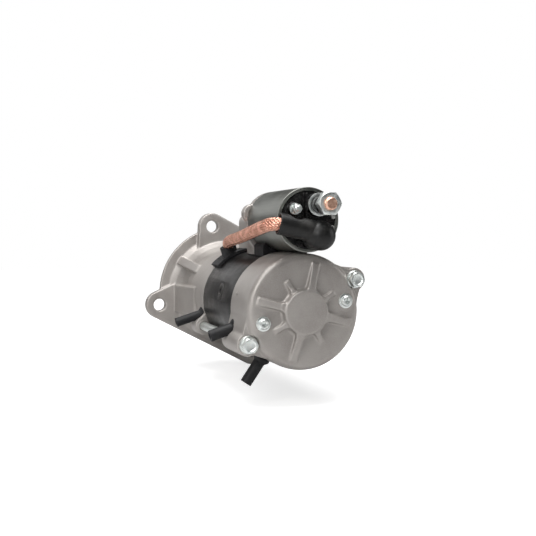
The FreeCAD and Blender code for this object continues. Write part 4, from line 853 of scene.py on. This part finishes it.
finished_in(GEAR_STEEL, "armature_shaft", "planet_gear_1", "planet_gear_2", "planet_gear_3", "planet_pins",
            "ring_gear", "clutch_housing", "plunger")

# ---- Return spring and contact spring ----
# Coiled from round steel wire. Each stands on the solenoid's fixed side and is pressed shorter by the plunger or
# by the moving contact.


def pressed_spring(node, name):
    """A copy of the coil's CAD mesh, with a mesh of its own, standing in for the CAD node."""
    coil = put(merged(node), name, SHEET, frame["nodes"][node]["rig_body"])
    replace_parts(coil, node)
    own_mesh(coil)


pressed_spring("return_spring", "plunger_return_spring")
pressed_spring("contact_spring", "contact_return_spring")

# ---- Floor ----
# A pale paper floor that the starter lies on. For the camera alone it fades into white with distance, so that it
# has no edge.

FLOOR_Z = cad_box[0].z
FLOOR_RADIUS = 2.5
FADE_START, FADE_END = 0.3, 1.2
GLOW_NEAR, GLOW_FAR = 0.68, 1.0
floor_disc = bmesh.new()
bmesh.ops.create_circle(floor_disc, cap_ends=True, segments=64, radius=FLOOR_RADIUS)
bmesh.ops.translate(floor_disc, vec=(0, 0, FLOOR_Z), verts=floor_disc.verts)
floor_mesh = bpy.data.meshes.new("floor")
floor_disc.to_mesh(floor_mesh)
floor_disc.free()
paper = Finish("floor_paper", Roughness=0.9, Emission_Strength=1.0)
away = paper.add("ShaderNodeVectorMath", {"operation": "LENGTH"}, {0: paper.place}, "Value")
to_camera = paper.add("ShaderNodeLightPath", {}, {}, "Is Camera Ray")
paper.feed(Base_Color=mix_colour(paper, noise(paper, 300, 2.0), (0.62, 0.62, 0.62, 1), (0.66, 0.66, 0.66, 1)),
           Emission_Color=mix_colour(paper, to_camera * ramp(paper, away, FADE_START, FADE_END, GLOW_NEAR, GLOW_FAR),
                                     (0, 0, 0, 1), (1, 1, 1, 1)))
floor_mesh.materials.append(paper.material)
studio_floor = bpy.data.objects.new("floor", floor_mesh)
bpy.context.scene.collection.objects.link(studio_floor)

# ---- Lights ----
# A large softbox overhead, a smaller one from the left behind the camera, and two weak ones that put a thin line
# of light on the far edge and on the right.


def soft_light(name, place, width, height, watts):
    """A rectangular light, turned towards the middle of the starter; sizes in metres."""
    data = bpy.data.lights.new(name, "AREA")
    data.shape = "RECTANGLE"
    data.size = width
    data.size_y = height
    data.energy = watts
    lamp = bpy.data.objects.new(name, data)
    lamp.location = place
    lamp.rotation_euler = (Vector(LIGHT_AIM) - Vector(place)).to_track_quat("-Z", "Y").to_euler()
    bpy.context.scene.collection.objects.link(lamp)


LIGHT_AIM = (0.0, -0.14, 0.02)
soft_light("top_softbox", (-0.1, -0.3, 0.95), width=0.8, height=0.9, watts=16)
soft_light("left_softbox", (-0.8, -0.95, 0.55), width=0.6, height=0.6, watts=7)
soft_light("far_softbox", (-0.5, 0.9, 0.5), width=0.8, height=0.6, watts=1.5)
soft_light("right_softbox", (1.2, -0.5, 0.3), width=0.6, height=0.8, watts=3)

# ---- Room ----
# White for the camera and dim for everything else, so that black paint and plating mirror a dark studio instead
# of a white one.

ROOM_DIM = 0.12
world = bpy.data.worlds.new("studio")
world.use_nodes = True
room = world.node_tree
seen = room.nodes["Background"]
seen.inputs["Color"].default_value = (1, 1, 1, 1)
dim = room.nodes.new("ShaderNodeBackground")
dim.inputs["Strength"].default_value = ROOM_DIM
either = room.nodes.new("ShaderNodeMixShader")
room.links.new(room.nodes.new("ShaderNodeLightPath").outputs["Is Camera Ray"], either.inputs[0])
room.links.new(dim.outputs[0], either.inputs[1])
room.links.new(seen.outputs[0], either.inputs[2])
room.links.new(either.outputs[0], room.nodes["World Output"].inputs[0])
bpy.context.scene.world = world
bpy.context.scene.view_settings.view_transform = "Standard"

# ---- Camera ----
# Behind the rear cover, a little to its left and slightly above, so that the cover, the solenoid's cap and the
# bracket's flange all show.

CAMERA_PLACE = (-0.23997, -0.90565, 0.06359)
CAMERA_AZIMUTH = math.radians(-17.816)
CAMERA_PITCH = math.radians(2.344)
camera_data = bpy.data.cameras.new("camera")
camera_data.sensor_width = 36.0
camera_data.lens = 58.71
camera_data.clip_start = 0.01
camera = bpy.data.objects.new("camera", camera_data)
camera.location = CAMERA_PLACE
camera.rotation_euler = (math.pi / 2 - CAMERA_PITCH, 0.0, CAMERA_AZIMUTH)
bpy.context.scene.collection.objects.link(camera)
bpy.context.scene.camera = camera
